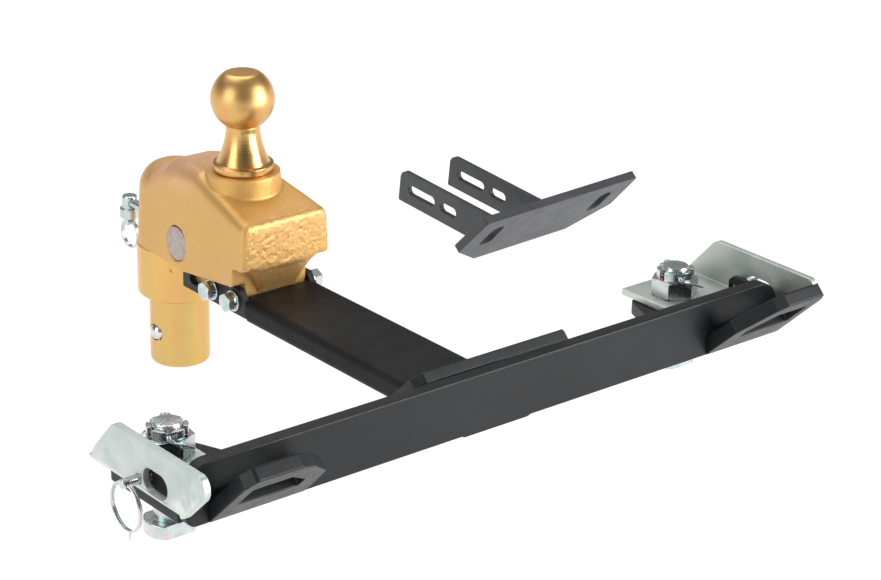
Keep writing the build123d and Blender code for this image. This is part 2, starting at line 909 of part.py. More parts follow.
# Safety chain loops that slope up in front of the bar
loop_down = -sin(radians(plate_angle))
loop_forward = -cos(radians(plate_angle))
loop_starts = {"left": loop_left_inner, "right": loop_right_inner}
for side, hand in SIDES:
    start = loop_starts[hand]
    slope = Plane(
        origin=(0, -bar_front, bar_bottom),
        x_dir=(1, 0, 0),
        z_dir=(0, loop_down, loop_forward),
    )
    with BuildPart() as chain_loop:
        with BuildSketch(slope):
            with BuildLine():
                Polyline(
                    *[(side * (start + across), up) for across, up in loop_outline],
                    close=True,
                )
            make_face()
            with BuildLine():
                FilletPolyline(
                    *[(side * (start + across), up) for across, up in loop_window],
                    radius=loop_window_round,
                    close=True,
                )
            make_face(mode=Mode.SUBTRACT)
        extrude(amount=-loop_thickness)
        with BuildSketch(Plane.XZ.offset(bar_front)):
            with Locations((side * start, bar_top)):
                Rectangle(cutter, cutter)
        extrude(amount=-overcut, mode=Mode.SUBTRACT)
        chamfer(chain_loop.faces().sort_by(Axis.Y)[0].edges(), edge_break)
    save(chain_loop, f"chain_loop_{hand}")

# Anchor studs with their feet below the pads
cotter_axis = (cos(radians(cotter_heading)), sin(radians(cotter_heading)), 0)
for side, hand in SIDES:
    with BuildPart() as anchor_stud:
        with BuildSketch(Plane.XY.offset(anchor_bottom)):
            with Locations((side * anchor_x, -anchor_setback)):
                Circle(anchor_foot_radius)
                Rectangle(cutter, anchor_foot_flats, mode=Mode.INTERSECT)
        extrude(amount=anchor_foot_height)
        with BuildSketch(Plane.XY.offset(anchor_bottom)):
            with Locations((side * anchor_x, -anchor_setback)):
                Circle(anchor_radius)
        extrude(amount=anchor_top - anchor_bottom)
        chamfer(anchor_stud.edges().filter_by(GeomType.CIRCLE).sort_by(Axis.Z)[-1], thread_chamfer)
        with BuildSketch(Plane.XY.offset(bar_bottom - running_gap)):
            with Locations((side * anchor_x, -anchor_setback)):
                Circle(anchor_shoulder_radius)
        extrude(amount=-anchor_shoulder_height)
        cotter_point = (side * anchor_x, -anchor_setback, cotter_z)
        with BuildSketch(Plane(cotter_point, (0, 0, 1), cotter_axis)):
            Circle(cotter_radius + bore_gap)
        extrude(amount=anchor_radius + overcut, both=True, mode=Mode.SUBTRACT)
    save(anchor_stud, f"anchor_stud_{hand}")

for side, hand in SIDES:
    with BuildPart() as castle_nut:
        with BuildSketch(Plane.XY.offset(lever_top)):
            with Locations((side * anchor_x, -anchor_setback)):
                RegularPolygon(castle_flats / 2, 6, major_radius=False, rotation=30)
        extrude(amount=castle_hex_height)
        with BuildSketch(Plane.XY.offset(lever_top + castle_hex_height)):
            with Locations((side * anchor_x, -anchor_setback)):
                Circle(castle_crown_radius)
        extrude(amount=castle_crown_height)
        with BuildSketch(Plane.XY.offset(castle_top)):
            with Locations((side * anchor_x, -anchor_setback)):
                for slot_turn in castle_slot_turns:
                    Rectangle(cutter, castle_slot, rotation=slot_turn)
        extrude(amount=-castle_crown_height, mode=Mode.SUBTRACT)
        with BuildSketch(Plane.XY.offset(lever_top)):
            with Locations((side * anchor_x, -anchor_setback)):
                Circle(anchor_radius)
        extrude(amount=castle_top - lever_top, mode=Mode.SUBTRACT)
    save(castle_nut, f"castle_nut_{hand}")

# Cotter pins: an eye, a straight shank through stud and nut, and a bent tail
for side, hand in SIDES:
    cotter_plane = Plane((side * anchor_x, -anchor_setback, cotter_z), cotter_axis, (0, 0, 1))
    cotter_start = -castle_crown_radius - cotter_head
    cotter_turn = castle_crown_radius + cotter_tail_reach
    cotter_end = castle_crown_radius + cotter_tail_lean
    cotter_root = cotter_plane.from_local_coords(Vector(cotter_start, 0, 0))
    with BuildPart() as cotter_pin:
        with BuildLine(cotter_plane):
            FilletPolyline(
                (cotter_start, 0),
                (cotter_turn, 0),
                (cotter_end, cotter_tail_rise),
                radius=cotter_bend,
            )
        with BuildSketch(Plane(cotter_root, (0, 0, 1), cotter_axis)):
            Circle(cotter_radius)
        sweep()
        eye_centre = Vector(cotter_start - cotter_eye_gap, 0, 0)
        with Locations(cotter_plane.from_local_coords(eye_centre)):
            Torus(cotter_eye_radius, cotter_eye_wire)
    save(cotter_pin, f"cotter_pin_{hand}")

# Levers: a flat leg under the nut and an upright leg beside the bar's end
for side, hand in SIDES:
    lever_face = lever_outer + end_shift[hand] - lever_thickness
    leg_end = lever_inner - end_shift[hand]
    leg_width = lever_face + lever_thickness - leg_end
    leg_depth = lever_front - lever_rear
    with BuildPart() as lever:
        with BuildSketch(Plane.XY.offset(lever_bottom)):
            with Locations((side * (leg_end + leg_width / 2), -lever_rear - leg_depth / 2)):
                Rectangle(leg_width, leg_depth)
            with Locations((side * anchor_x, -anchor_setback)):
                Circle(anchor_radius, mode=Mode.SUBTRACT)
        extrude(amount=lever_thickness)
        with BuildSketch(Plane.YZ.offset(side * lever_face)):
            with BuildLine():
                FilletPolyline(
                    *[(-setback, lever_bottom + up) for setback, up in lever_upright],
                    radius=lever_rounds,
                    close=True,
                )
            make_face()
            with Locations((-lever_window_setback, lever_window_z)):
                SlotOverall(lever_window_length, lever_window_height, mode=Mode.SUBTRACT)
            with Locations((-pin_setback, pin_z)):
                Circle(pin_radius + running_gap, mode=Mode.SUBTRACT)
        extrude(amount=side * lever_thickness)
    save(lever, f"lever_{hand}")

# Lock pins, drawn back so that the levers can turn, and their pull rings
for side, hand in SIDES:
    pin_tip = lever_outer + end_shift[hand] - lever_thickness - pin_hidden
    pin_end = lever_outer + end_shift[hand] + pin_stick_out
    ring_x = lever_outer + end_shift[hand] + pin_ring_offset
    with BuildPart() as lock_pin:
        with BuildSketch(Plane.YZ.offset(side * pin_tip)):
            with Locations((-pin_setback, pin_z)):
                Circle(pin_radius)
        extrude(amount=side * (pin_end - pin_tip))
        chamfer(lock_pin.edges().filter_by(GeomType.CIRCLE), pin_chamfer)
        with BuildSketch(Plane.XZ.offset(pin_setback)):
            with Locations((side * ring_x, pin_z)):
                Circle(ring_hole)
        extrude(amount=pin_radius + overcut, both=True, mode=Mode.SUBTRACT)
    save(lock_pin, f"lock_pin_{hand}")

    ring_centre = (side * ring_x, -pin_setback, pin_z - lock_ring_radius)
    with BuildPart() as lock_ring:
        with Locations(Location(ring_centre, (0, 90, 0))):
            Torus(lock_ring_radius, ring_wire)
    save(lock_ring, f"lock_ring_{hand}")

# Loose bracket: its own directions are along the plate, backwards and up
turn = radians(bracket_turn)
lean = radians(bracket_lean)
along_plate = Vector(cos(turn), sin(turn), 0)
backwards = Vector(-sin(turn), cos(turn), 0)
upwards = Vector(0, 0, 1)
plate_normal = backwards * sin(lean) + upwards * cos(lean)
bracket_foot = Vector(bracket_x, bracket_y, -shank_length)
plate_front = Plane(bracket_foot, along_plate, plate_normal * -1)
plate_rear_foot = bracket_foot + plate_normal * bracket_thickness
plate_back = Plane(plate_rear_foot, along_plate, plate_normal * -1)

with BuildPart() as bracket_plate:
    with BuildSketch(plate_front):
        with BuildLine():
            FilletPolyline(*bracket_outline, radius=bracket_corner, close=True)
        make_face()
        with Locations((-bracket_slot_x, bracket_slot_up), (bracket_slot_x, bracket_slot_up)):
            SlotOverall(bracket_slot_length, bracket_slot_width, rotation=90, mode=Mode.SUBTRACT)
    extrude(amount=-bracket_thickness)
save(bracket_plate, "bracket_plate")

bracket_tilt = radians(bracket_arm_tilt)
arm_axis = backwards * cos(bracket_tilt) + upwards * sin(bracket_tilt)
arm_start = bracket_foot + upwards * bracket_arm_rise
for side, hand in SIDES:
    inner_face = arm_start + along_plate * (side * arm_half)
    arm_plane = Plane(inner_face, arm_axis, along_plate)
    half_height = bracket_arm_height / 2
    with BuildPart() as bracket_arm:
        with BuildSketch(arm_plane):
            with BuildLine():
                FilletPolyline(
                    (-bracket_arm_root, -half_height),
                    (bracket_arm_reach, -half_height),
                    (bracket_arm_reach, half_height),
                    (-bracket_arm_root, half_height),
                    radius=(0, bracket_arm_toe, bracket_arm_corner, 0),
                    close=True,
                )
            make_face()
            for reach, length in (bracket_long_slot, bracket_short_slot):
                with Locations((reach, 0)):
                    SlotOverall(length, slot_height, mode=Mode.SUBTRACT)
        extrude(amount=side * strap_thickness)
        with BuildSketch(plate_back):
            Rectangle(cutter, cutter)
        extrude(amount=cutter, mode=Mode.SUBTRACT)
    save(bracket_arm, f"bracket_arm_{hand}")

with BuildPart() as bracket_block:
    with BuildSketch(Plane(arm_start - along_plate * arm_half, arm_axis, along_plate)):
        with Locations(((bracket_block_reach - bracket_arm_root) / 2, 0)):
            Rectangle(bracket_block_reach + bracket_arm_root, bracket_block_height)
    extrude(amount=2 * arm_half)
    with BuildSketch(plate_back):
        Rectangle(cutter, cutter)
    extrude(amount=cutter, mode=Mode.SUBTRACT)
save(bracket_block, "bracket_block")
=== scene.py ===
# %% [markdown]
# A gooseneck hitch, dressed for its photograph.
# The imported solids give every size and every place, so this script never moves them. Where
# a solid already has the right shape, it only gets a finish. Where the real piece has
# more shape, such as rounded edges, threads or a rough cast skin, a new piece is made in
# the same place and stands for the solid.

# %% Load the solids
import json
from math import asin, atan2, cos, hypot, pi, radians, sin, sqrt, tan

import bmesh
import bpy
from mathutils import Matrix, Vector, noise


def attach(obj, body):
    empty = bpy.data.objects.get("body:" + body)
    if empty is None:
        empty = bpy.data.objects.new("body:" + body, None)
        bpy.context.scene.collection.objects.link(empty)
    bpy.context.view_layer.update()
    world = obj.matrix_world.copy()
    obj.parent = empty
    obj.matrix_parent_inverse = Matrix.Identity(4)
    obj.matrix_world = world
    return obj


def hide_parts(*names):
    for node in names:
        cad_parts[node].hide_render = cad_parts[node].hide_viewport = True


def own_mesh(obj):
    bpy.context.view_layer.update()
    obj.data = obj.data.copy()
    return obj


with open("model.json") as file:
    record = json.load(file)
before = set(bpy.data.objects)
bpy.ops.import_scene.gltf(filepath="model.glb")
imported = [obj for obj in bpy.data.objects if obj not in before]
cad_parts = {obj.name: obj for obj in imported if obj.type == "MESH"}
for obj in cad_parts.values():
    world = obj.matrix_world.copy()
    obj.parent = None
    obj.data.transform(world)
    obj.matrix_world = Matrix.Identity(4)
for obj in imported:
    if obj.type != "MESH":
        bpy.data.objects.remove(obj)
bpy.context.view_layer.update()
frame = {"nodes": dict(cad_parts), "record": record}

# %% Words used all through
MM = 0.001
SIDES = ((-1, "left"), (1, "right"))
OUT_SHIFT_MM = {"left": 0.0, "right": 8.0}  # the right end's parts sit further out
scene = bpy.context.scene
node_body = {}
for body, nodes in frame["record"]["behaviour"]["bodies"].items():
    for node in nodes:
        node_body[node] = body
node_slot = {part["node"]: part["material_slot"] for part in frame["record"]["subparts"]}
print("bodies:", sorted(set(node_body.values())))


def tone(code):
    """A colour as a paint chart gives it, such as CDA662, in the shader's linear numbers."""
    parts = [int(code[place:place + 2], 16) / 255 for place in (0, 2, 4)]
    linear = [part / 12.92 if part < 0.04 else ((part + 0.055) / 1.055) ** 2.4 for part in parts]
    return (*linear, 1.0)


def facing(angle):
    """The level direction that lies at an angle from +X."""
    return Vector((cos(angle), sin(angle), 0.0))


# %% [markdown]
# The camera comes first, because every judgement of shape is made through it. It was worked
# out from the photograph: a long lens, so that the crossbar hardly narrows with distance,
# from the front left and a little above. The picture leans by about one degree.

# %% Camera
HEADING = radians(39.65)
ELEVATION = radians(22.21)
ROLL = radians(1.11)
LENS_MM = 105.3
SENSOR_MM = 36.0
AIM = Vector((0.2026, -0.1527, 0.0))
DISTANCE = 2.51055

ahead = Vector((
    sin(HEADING) * cos(ELEVATION),
    cos(HEADING) * cos(ELEVATION),
    -sin(ELEVATION),
))
level_right = Vector((cos(HEADING), -sin(HEADING), 0.0))
level_up = level_right.cross(ahead)
right = cos(ROLL) * level_right + sin(ROLL) * level_up
up = cos(ROLL) * level_up - sin(ROLL) * level_right
camera_data = bpy.data.cameras.new("camera")
camera_data.lens = LENS_MM
camera_data.sensor_width = SENSOR_MM
camera = bpy.data.objects.new("camera", camera_data)
scene.collection.objects.link(camera)
turn = Matrix((right, up, -ahead)).transposed().to_4x4()
camera.matrix_world = Matrix.Translation(AIM - ahead * DISTANCE) @ turn
scene.camera = camera
scene.view_settings.view_transform = "Standard"
print("camera at", [round(value, 3) for value in camera.matrix_world.translation])

# %% [markdown]
# The floor, the surround and every finish are trees of nodes. One helper adds any node with
# its values and links. The others add the kinds that come up most: arithmetic, a noise, a
# range that is spread to another range, and a blend of two colours.

# %% Adding nodes
def add_node(tree, kind, inputs, **settings):
    """Adds a node; inputs gives a socket, by name or number, a value or another node's output."""
    node = tree.nodes.new("ShaderNode" + kind)
    for label, setting in settings.items():
        setattr(node, label, setting)
    for label, value in inputs.items():
        if isinstance(value, bpy.types.NodeSocket):
            tree.links.new(value, node.inputs[label])
        else:
            node.inputs[label].default_value = value
    return node


def add_math(tree, operation, first, second):
    return add_node(tree, "Math", {0: first, 1: second}, operation=operation).outputs[0]


def product(tree, first, second):
    return add_math(tree, "MULTIPLY", first, second)


def add_vector_math(tree, operation, first, second):
    """The node's outputs: Vector for a sum or a product, Value for a dot product."""
    return add_node(tree, "VectorMath", {0: first, 1: second}, operation=operation).outputs


def add_noise(tree, place, scale, detail):
    return add_node(tree, "TexNoise", {"Vector": place, "Scale": scale, "Detail": detail}).outputs["Fac"]


def add_range(tree, value, low, high, to_low=0.0, to_high=1.0, **settings):
    """Spreads a value's range from low..high to to_low..to_high and stops it there."""
    inputs = {"Value": value, "From Min": low, "From Max": high, "To Min": to_low, "To Max": to_high}
    return add_node(tree, "MapRange", inputs, **settings).outputs["Result"]


def add_blend(tree, share, first, second):
    """A colour between two others, as far along as the share says."""
    return add_node(tree, "Mix", {"Factor": share, 6: first, 7: second}, data_type="RGBA").outputs[2]


def own_place(tree):
    """Each piece's own coordinates, which never move on the piece."""
    return tree.nodes.new("ShaderNodeTexCoord").outputs["Object"]


def new_material(name):
    """An empty material and its node tree."""
    material = bpy.data.materials.new(name)
    material.use_nodes = True
    material.node_tree.nodes.clear()
    return material, material.node_tree


print("helpers ready")

# %% [markdown]
# The studio is a pale floor, four soft boxes and a bright surround. Metal shows what it
# reflects, so the surround matters more than the lamps. It is white near the horizon and
# grey overhead, which keeps the black bar's top dark and its front lighter, and it has one
# dark corner in front, which the bar's front reflects. The floor glows a little so that it
# reads as white paper, and still takes the hitch's shadow.

# %% Floor
WHITE = (1.0, 1.0, 1.0, 1.0)
PAPER = (0.86, 0.86, 0.86, 1.0)
FLOOR_Z = -71.0 * MM
FLOOR_GAP = 0.2 * MM
FLOOR_HALF = 9.0
GLOW_STRENGTH = 1.3
GLOW_SHARE = 0.66


def make_floor():
    material, tree = new_material("white_paper")
    paper = add_node(tree, "BsdfDiffuse", {"Color": PAPER})
    glow = add_node(tree, "Emission", {"Color": WHITE, "Strength": GLOW_STRENGTH})
    mix = add_node(tree, "MixShader", {"Fac": GLOW_SHARE, 1: paper.outputs[0], 2: glow.outputs[0]})
    add_node(tree, "OutputMaterial", {"Surface": mix.outputs[0]})
    mesh = bpy.data.meshes.new("floor")
    reach = FLOOR_HALF
    corners = [(-reach, -reach, 0), (reach, -reach, 0), (reach, reach, 0), (-reach, reach, 0)]
    mesh.from_pydata(corners, [], [(0, 1, 2, 3)])
    mesh.materials.append(material)
    floor = bpy.data.objects.new("floor", mesh)
    floor.location.z = FLOOR_Z - FLOOR_GAP
    scene.collection.objects.link(floor)
    print("floor at", round(floor.location.z, 4))


make_floor()

# %% Surround
OVERHEAD = {"low": 0.0, "high": 0.24, "to_low": 1.0, "to_high": 0.22}
DARK_CORNER = (-0.385, -0.923, 0.0)
CORNER_FADE = {"low": 0.84, "high": 0.97, "to_low": 1.0, "to_high": 0.3}


def make_surround():
    world = bpy.data.worlds.new("studio")
    world.use_nodes = True
    scene.world = world
    tree = world.node_tree
    tree.nodes.clear()
    direction = tree.nodes.new("ShaderNodeTexCoord").outputs["Generated"]
    height = add_node(tree, "SeparateXYZ", {"Vector": direction}).outputs["Z"]
    fade = add_range(tree, height, **OVERHEAD, interpolation_type="SMOOTHSTEP")
    towards = add_vector_math(tree, "DOT_PRODUCT", direction, DARK_CORNER)["Value"]
    strength = product(tree, add_range(tree, towards, **CORNER_FADE), fade)
    studio = add_node(tree, "Background", {"Color": WHITE, "Strength": strength})
    white = add_node(tree, "Background", {"Color": WHITE})
    seen = tree.nodes.new("ShaderNodeLightPath").outputs["Is Camera Ray"]
    mix = add_node(tree, "MixShader", {"Fac": seen, 1: studio.outputs[0], 2: white.outputs[0]})
    add_node(tree, "OutputWorld", {"Surface": mix.outputs[0]})
    print("surround made")


make_surround()

# %% Soft boxes
# Place in metres, width, height and power of each box, all aimed at the hitch
SOFT_BOXES = {
    "left_box": ((-2.6, -0.2, 1.2), 1.7, 2.0, 27.0),
    "right_box": ((1.7, -2.5, 1.1), 1.4, 2.0, 76.0),
    "top_box": ((0.3, 0.9, 2.5), 2.4, 2.0, 38.0),
    "low_box": ((0.9, -2.0, 0.16), 1.3, 0.4, 13.0),
}
BOXES_AIM = Vector((0.1, -0.2, 0.05))


def make_soft_box(name, place, width, height, power):
    lamp = bpy.data.lights.new(name, "AREA")
    lamp.shape = "RECTANGLE"
    lamp.size = width
    lamp.size_y = height
    lamp.energy = power
    holder = bpy.data.objects.new(name, lamp)
    holder.location = place
    holder.rotation_euler = (BOXES_AIM - Vector(place)).to_track_quat("-Z", "Y").to_euler()
    scene.collection.objects.link(holder)
    print(name, power, "W")


for box_name, (place, width, height, power) in SOFT_BOXES.items():
    make_soft_box(box_name, place, width, height, power)

# %% [markdown]
# Finishes share a few effects, so each effect is a node group built once. Patchy tint drifts
# between three colours, as zinc and its yellow passivation do. Grain is a fine rough
# height. Tool rings are the lines that a lathe leaves. Worn and lit edges finds the ridges of
# a shape, which carry wear on the coats and a painted highlight on the casting.

# %% Opening and closing a node group
def socket_kind(value):
    """The kind of socket for a number, for a direction of three and for a colour of four."""
    if isinstance(value, float):
        return "NodeSocketFloat"
    return "NodeSocketVector" if len(value) == 3 else "NodeSocketColor"


def new_group(name, **inputs):
    """A node group with an input for each value, whose name has _ for a space."""
    group = bpy.data.node_groups.new(name, "ShaderNodeTree")
    for label, value in inputs.items():
        socket = group.interface.new_socket(label.replace("_", " "), in_out="INPUT",
                                            socket_type=socket_kind(value))
        socket.default_value = value
    return group, group.nodes.new("NodeGroupInput").outputs


def close_group(group, **results):
    """Gives the group an output for each result."""
    for label, result in results.items():
        kind = "NodeSocketColor" if result.type == "RGBA" else "NodeSocketFloat"
        group.interface.new_socket(label, in_out="OUTPUT", socket_type=kind)
    made = group.nodes.new("NodeGroupOutput")
    for label, result in results.items():
        group.links.new(result, made.inputs[label])
    print("group", group.name)
    return group


# %% Patchy tint
SECOND_NOISE_SHIFT = (3.7, 1.9, 5.3)


def make_patchy_tint():
    group, given = new_group("patchy_tint", Main=WHITE, Second=WHITE, Third=WHITE,
                             Scale=20.0, Stretch=(1.0, 1.0, 1.0), Amount=1.0)
    place = add_vector_math(group, "MULTIPLY", own_place(group), given["Stretch"])["Vector"]
    shifted = add_vector_math(group, "ADD", place, SECOND_NOISE_SHIFT)["Vector"]
    first = add_range(group, add_noise(group, place, given["Scale"], 3.0), 0.38, 0.62)
    second = add_range(group, add_noise(group, shifted, given["Scale"], 3.0), 0.48, 0.7)
    first = product(group, first, given["Amount"])
    second = product(group, second, given["Amount"])
    colour = add_blend(group, first, given["Main"], given["Second"])
    colour = add_blend(group, second, colour, given["Third"])
    return close_group(group, Color=colour, Mask=first)


patchy_tint = make_patchy_tint()

# %% Grain
def make_grain():
    group, given = new_group("grain", Scale=600.0, Pit_Scale=300.0, Pit_Share=0.3)
    place = own_place(group)
    fine = add_noise(group, place, given["Scale"], 4.0)
    cells = add_node(group, "TexVoronoi", {"Vector": place, "Scale": given["Pit Scale"]})
    pits = add_range(group, cells.outputs["Distance"], 0.05, 0.45, 1.0, 0.0)
    choice = add_math(group, "ADD", add_noise(group, place, given["Pit Scale"], 1.0), given["Pit Share"])
    pits = product(group, pits, add_range(group, choice, 0.8, 0.95))
    return close_group(group, Height=add_math(group, "SUBTRACT", fine, pits), Pits=pits)


grain = make_grain()

# %% Tool rings
def make_tool_rings():
    group, given = new_group("tool_rings", Along=(0.0, 0.0, 1.0), Scale=1500.0)
    along = add_vector_math(group, "DOT_PRODUCT", own_place(group), given["Along"])["Value"]
    inputs = {"W": along, "Scale": given["Scale"], "Detail": 3.0}
    lines = add_node(group, "TexNoise", inputs, noise_dimensions="1D").outputs["Fac"]
    return close_group(group, Height=lines, Mask=add_range(group, lines, 0.35, 0.65))


tool_rings = make_tool_rings()

# %% Worn and lit edges
def make_worn_and_lit_edges():
    group, given = new_group("worn_and_lit_edges", From=0.52, To=0.62, Break_Up=120.0)
    ridge = group.nodes.new("ShaderNodeNewGeometry").outputs["Pointiness"]
    worn = add_range(group, ridge, given["From"], given["To"])
    patches = add_noise(group, own_place(group), given["Break Up"], 3.0)
    mask = product(group, worn, add_range(group, patches, 0.35, 0.6))
    return close_group(group, Mask=mask)


worn_and_lit_edges = make_worn_and_lit_edges()

# %% [markdown]
# Each finish is one Principled shader. Its plain values are set on the shader's own sockets,
# and only what changes over the surface comes through the groups: colour, roughness
# and height. Small helpers place a group in a material with that material's values.

# %% Placing the groups in a material
finishes = {}


def new_finish(name, metallic):
    """A material with a Principled shader, kept under its name."""
    finishes[name], tree = new_material(name)
    shader = add_node(tree, "BsdfPrincipled", {"Metallic": metallic})
    add_node(tree, "OutputMaterial", {"Surface": shader.outputs["BSDF"]})
    print("finish", name)
    return tree, shader


def use_group(tree, group, **values):
    """Places a group in a material; a value's name has _ for a space."""
    inputs = {label.replace("_", " "): value for label, value in values.items()}
    return add_node(tree, "Group", inputs, node_tree=group).outputs


def use_tint(tree, codes, **values):
    """The patchy tint, with the codes of its three colours."""
    main, second, third = (tone(code) for code in codes)
    return use_group(tree, patchy_tint, Main=main, Second=second, Third=third, **values)


def tint_worn_and_lit_edges(tree, colour, share, code, **values):
    """Blends a colour over the ridges: wear on the coats, and a painted highlight on the casting."""
    mask = use_group(tree, worn_and_lit_edges, **values)["Mask"]
    return add_blend(tree, product(tree, mask, share), colour, tone(code))


def dress(tree, shader, colour, rough, height, distance, strength):
    """Feeds the shader its colour, its roughness and a height, whose distance is in mm."""
    bump = add_node(tree, "Bump", {"Height": height, "Distance": distance * MM, "Strength": strength})
    tree.links.new(colour, shader.inputs["Base Color"])
    tree.links.new(rough, shader.inputs["Roughness"])
    tree.links.new(bump.outputs["Normal"], shader.inputs["Normal"])


def along_axis(tree, axis, low, high, to_low=0.0, to_high=1.0):
    """A range over the piece's own X, Y or Z, in metres."""
    place = add_node(tree, "SeparateXYZ", {"Vector": own_place(tree)}).outputs[axis]
    return add_range(tree, place, low, high, to_low, to_high)


# %% [markdown]
# The head is a rough casting under yellow zinc. It is warm gold, with painted light on the rear
# crown: a lighter, pinker colour for the light from above. Its ridges get a brighter gold as a
# painted highlight. Its skin has a fine sand grain, and small dark pits that hold dirt, which are
# strong only on the front face.

# %% Gold casting
def make_gold_casting():
    tree, shader = new_finish("gold_cast", 0.66)
    colour = use_tint(tree, ("D9AE66", "D5A55E", "DBA676"), Scale=11.0, Amount=0.7)["Color"]
    sand = use_group(tree, grain, Scale=900.0, Pit_Scale=330.0, Pit_Share=0.26)
    pits = product(tree, sand["Pits"], along_axis(tree, "Y", -0.168, -0.1775, 0.16, 1.0))
    # Painted light: the rear crown's top is drawn lighter and pinker, for the light from above.
    to_the_rear = along_axis(tree, "Y", -0.11, -0.06)
    painted_top_light = product(tree, to_the_rear, along_axis(tree, "Z", 0.12, 0.15, 0.0, 0.75))
    colour = add_blend(tree, painted_top_light, colour, tone("E8B795"))
    # Painted highlight: the casting's ridges are drawn a brighter gold.
    colour = tint_worn_and_lit_edges(tree, colour, 0.5, "F0CE8C", From=0.53, To=0.66, Break_Up=200.0)
    colour = add_blend(tree, product(tree, pits, 0.85), colour, tone("6B4A1E"))
    rough = add_range(tree, sand["Height"], 0.2, 0.8, 0.5, 0.4)
    dress(tree, shader, colour, rough, sand["Height"], 0.4, 0.85)


make_gold_casting()

# %% Turned gold steel
def make_turned_gold():
    tree, shader = new_finish("gold_machined", 1.0)
    tint = use_tint(tree, ("E0B56C", "DDA272", "CDBB74"), Scale=36.0, Stretch=(1.0, 1.0, 0.12), Amount=0.6)
    rings = use_group(tree, tool_rings, Scale=5200.0)
    colour = add_blend(tree, product(tree, rings["Mask"], 0.1), tint["Color"], tone("B98A48"))
    satin_ball = along_axis(tree, "Z", 0.196, 0.2, 0.0, 0.13)
    rough = add_math(tree, "ADD", add_range(tree, rings["Height"], 0.3, 0.7, 0.2, 0.3), satin_ball)
    dress(tree, shader, colour, rough, rings["Height"], 0.02, 0.6)


make_turned_gold()

# %% [markdown]
# Small hardware is clear zinc: bright, with faint green, blue and pink patches that show
# where the passivation is thicker. The levers have the same coat on plain plate, so
# they are duller and cloudier, and only their cut edges shine. The side plugs are plain
# grey steel and the lock balls polished. These four differ only in their numbers.

# %% Steel and zinc
def make_metal(name, metallic, codes, tint_scale, sand, rough, bump, worn=None):
    """A tinted metal with grain; worn is the break up, share and colour of its worn edges."""
    tree, shader = new_finish(name, metallic)
    colour = use_tint(tree, codes, Scale=tint_scale)["Color"]
    scale, pit_scale, pit_share = sand
    height = use_group(tree, grain, Scale=scale, Pit_Scale=pit_scale, Pit_Share=pit_share)["Height"]
    if worn is not None:
        break_up, share, code = worn
        colour = tint_worn_and_lit_edges(tree, colour, share, code, From=0.52, To=0.6, Break_Up=break_up)
    dress(tree, shader, colour, add_range(tree, height, 0.2, 0.8, *rough), height, *bump)


make_metal("grey_plug", 0.9, ("B4A6A2", "A89A94", "BDAFA6"), 160.0,
           sand=(1500.0, 700.0, 0.1), rough=(0.5, 0.38), bump=(0.05, 0.6))
make_metal("bright_steel", 1.0, ("DADADA", "CCCDCF", "E4E2DE"), 120.0,
           sand=(500.0, 900.0, 0.05), rough=(0.2, 0.1), bump=(0.01, 0.4))
make_metal("zinc_hardware", 1.0, ("D6DADA", "B4CBC9", "DACBD0"), 75.0,
           sand=(1100.0, 600.0, 0.12), rough=(0.32, 0.24), bump=(0.015, 0.5), worn=(300.0, 0.6, "EDEEEC"))
make_metal("zinc_plate", 0.9, ("CBD2CF", "BCC8C4", "D3D8D4"), 30.0,
           sand=(700.0, 260.0, 0.05), rough=(0.55, 0.42), bump=(0.05, 0.6), worn=(90.0, 0.7, "F0F2F0"))

# %% [markdown]
# Powder coat is a black plastic skin with a slight orange peel. It isn't metallic, so it is
# nearly black face on and lightens where the floor is seen in it at a low angle. The
# coat is thin on edges, where it turns a little greyer. The arm is coated duller and
# evenly. The loose bracket's coat shines more, and its colour is painted greyer as painted
# light from the floor on its down-facing front.

# %% Black powder coat
BLACKS = ("18191B", "151618", "1C1D1F")
# The greys are painted light: the loose bracket's black coat drawn greyer for the floor's light on it.
PAINTED_LIGHT_GREYS = ("36373A", "313235", "3B3C3F")


def make_black_coat(name, shine, wear, dull, codes):
    tree, shader = new_finish(name, 0.0)
    shader.inputs["Specular IOR Level"].default_value = shine
    peel = use_group(tree, grain, Scale=620.0, Pit_Scale=420.0, Pit_Share=0.02)["Height"]
    dust = use_group(tree, patchy_tint, Scale=60.0)["Mask"]
    colour = use_tint(tree, codes, Scale=14.0)["Color"]
    colour = tint_worn_and_lit_edges(tree, colour, wear, "55575A", From=0.52, To=0.62, Break_Up=150.0)
    peel_rough = add_range(tree, peel, 0.2, 0.8, dull + 0.1, dull)
    rough = add_math(tree, "ADD", peel_rough, product(tree, dust, 0.06))
    dress(tree, shader, colour, rough, peel, 0.09, 0.7)


make_black_coat("black_coat", shine=0.33, wear=0.4, dull=0.36, codes=BLACKS)
make_black_coat("arm_coat", shine=0.2, wear=0.0, dull=0.5, codes=BLACKS)
# The loose bracket's greyer colour is painted light; its stronger shine is the coat's own.
make_black_coat("bracket_painted_light_coat", shine=0.62, wear=0.4, dull=0.36, codes=PAINTED_LIGHT_GREYS)

# %% Every solid gets its finish
for name, solid in frame["nodes"].items():
    for place in solid.material_slots:
        place.material = finishes[node_slot[name]]
print("finishes:", sorted(finishes))

# %% [markdown]
# Most parts are plate, bar or turned stock, so three helpers make nearly all of them. The
# first copies a solid's mesh and rounds its sharp edges, as cutting, blasting and coating
# do. The second turns an outline round an axis, like a lathe. The third draws a round wire
# along a line of points. A rounded edge catches light, and a knife edge never does.

# %% From a shape to a piece
SMOOTH_BELOW = radians(38)


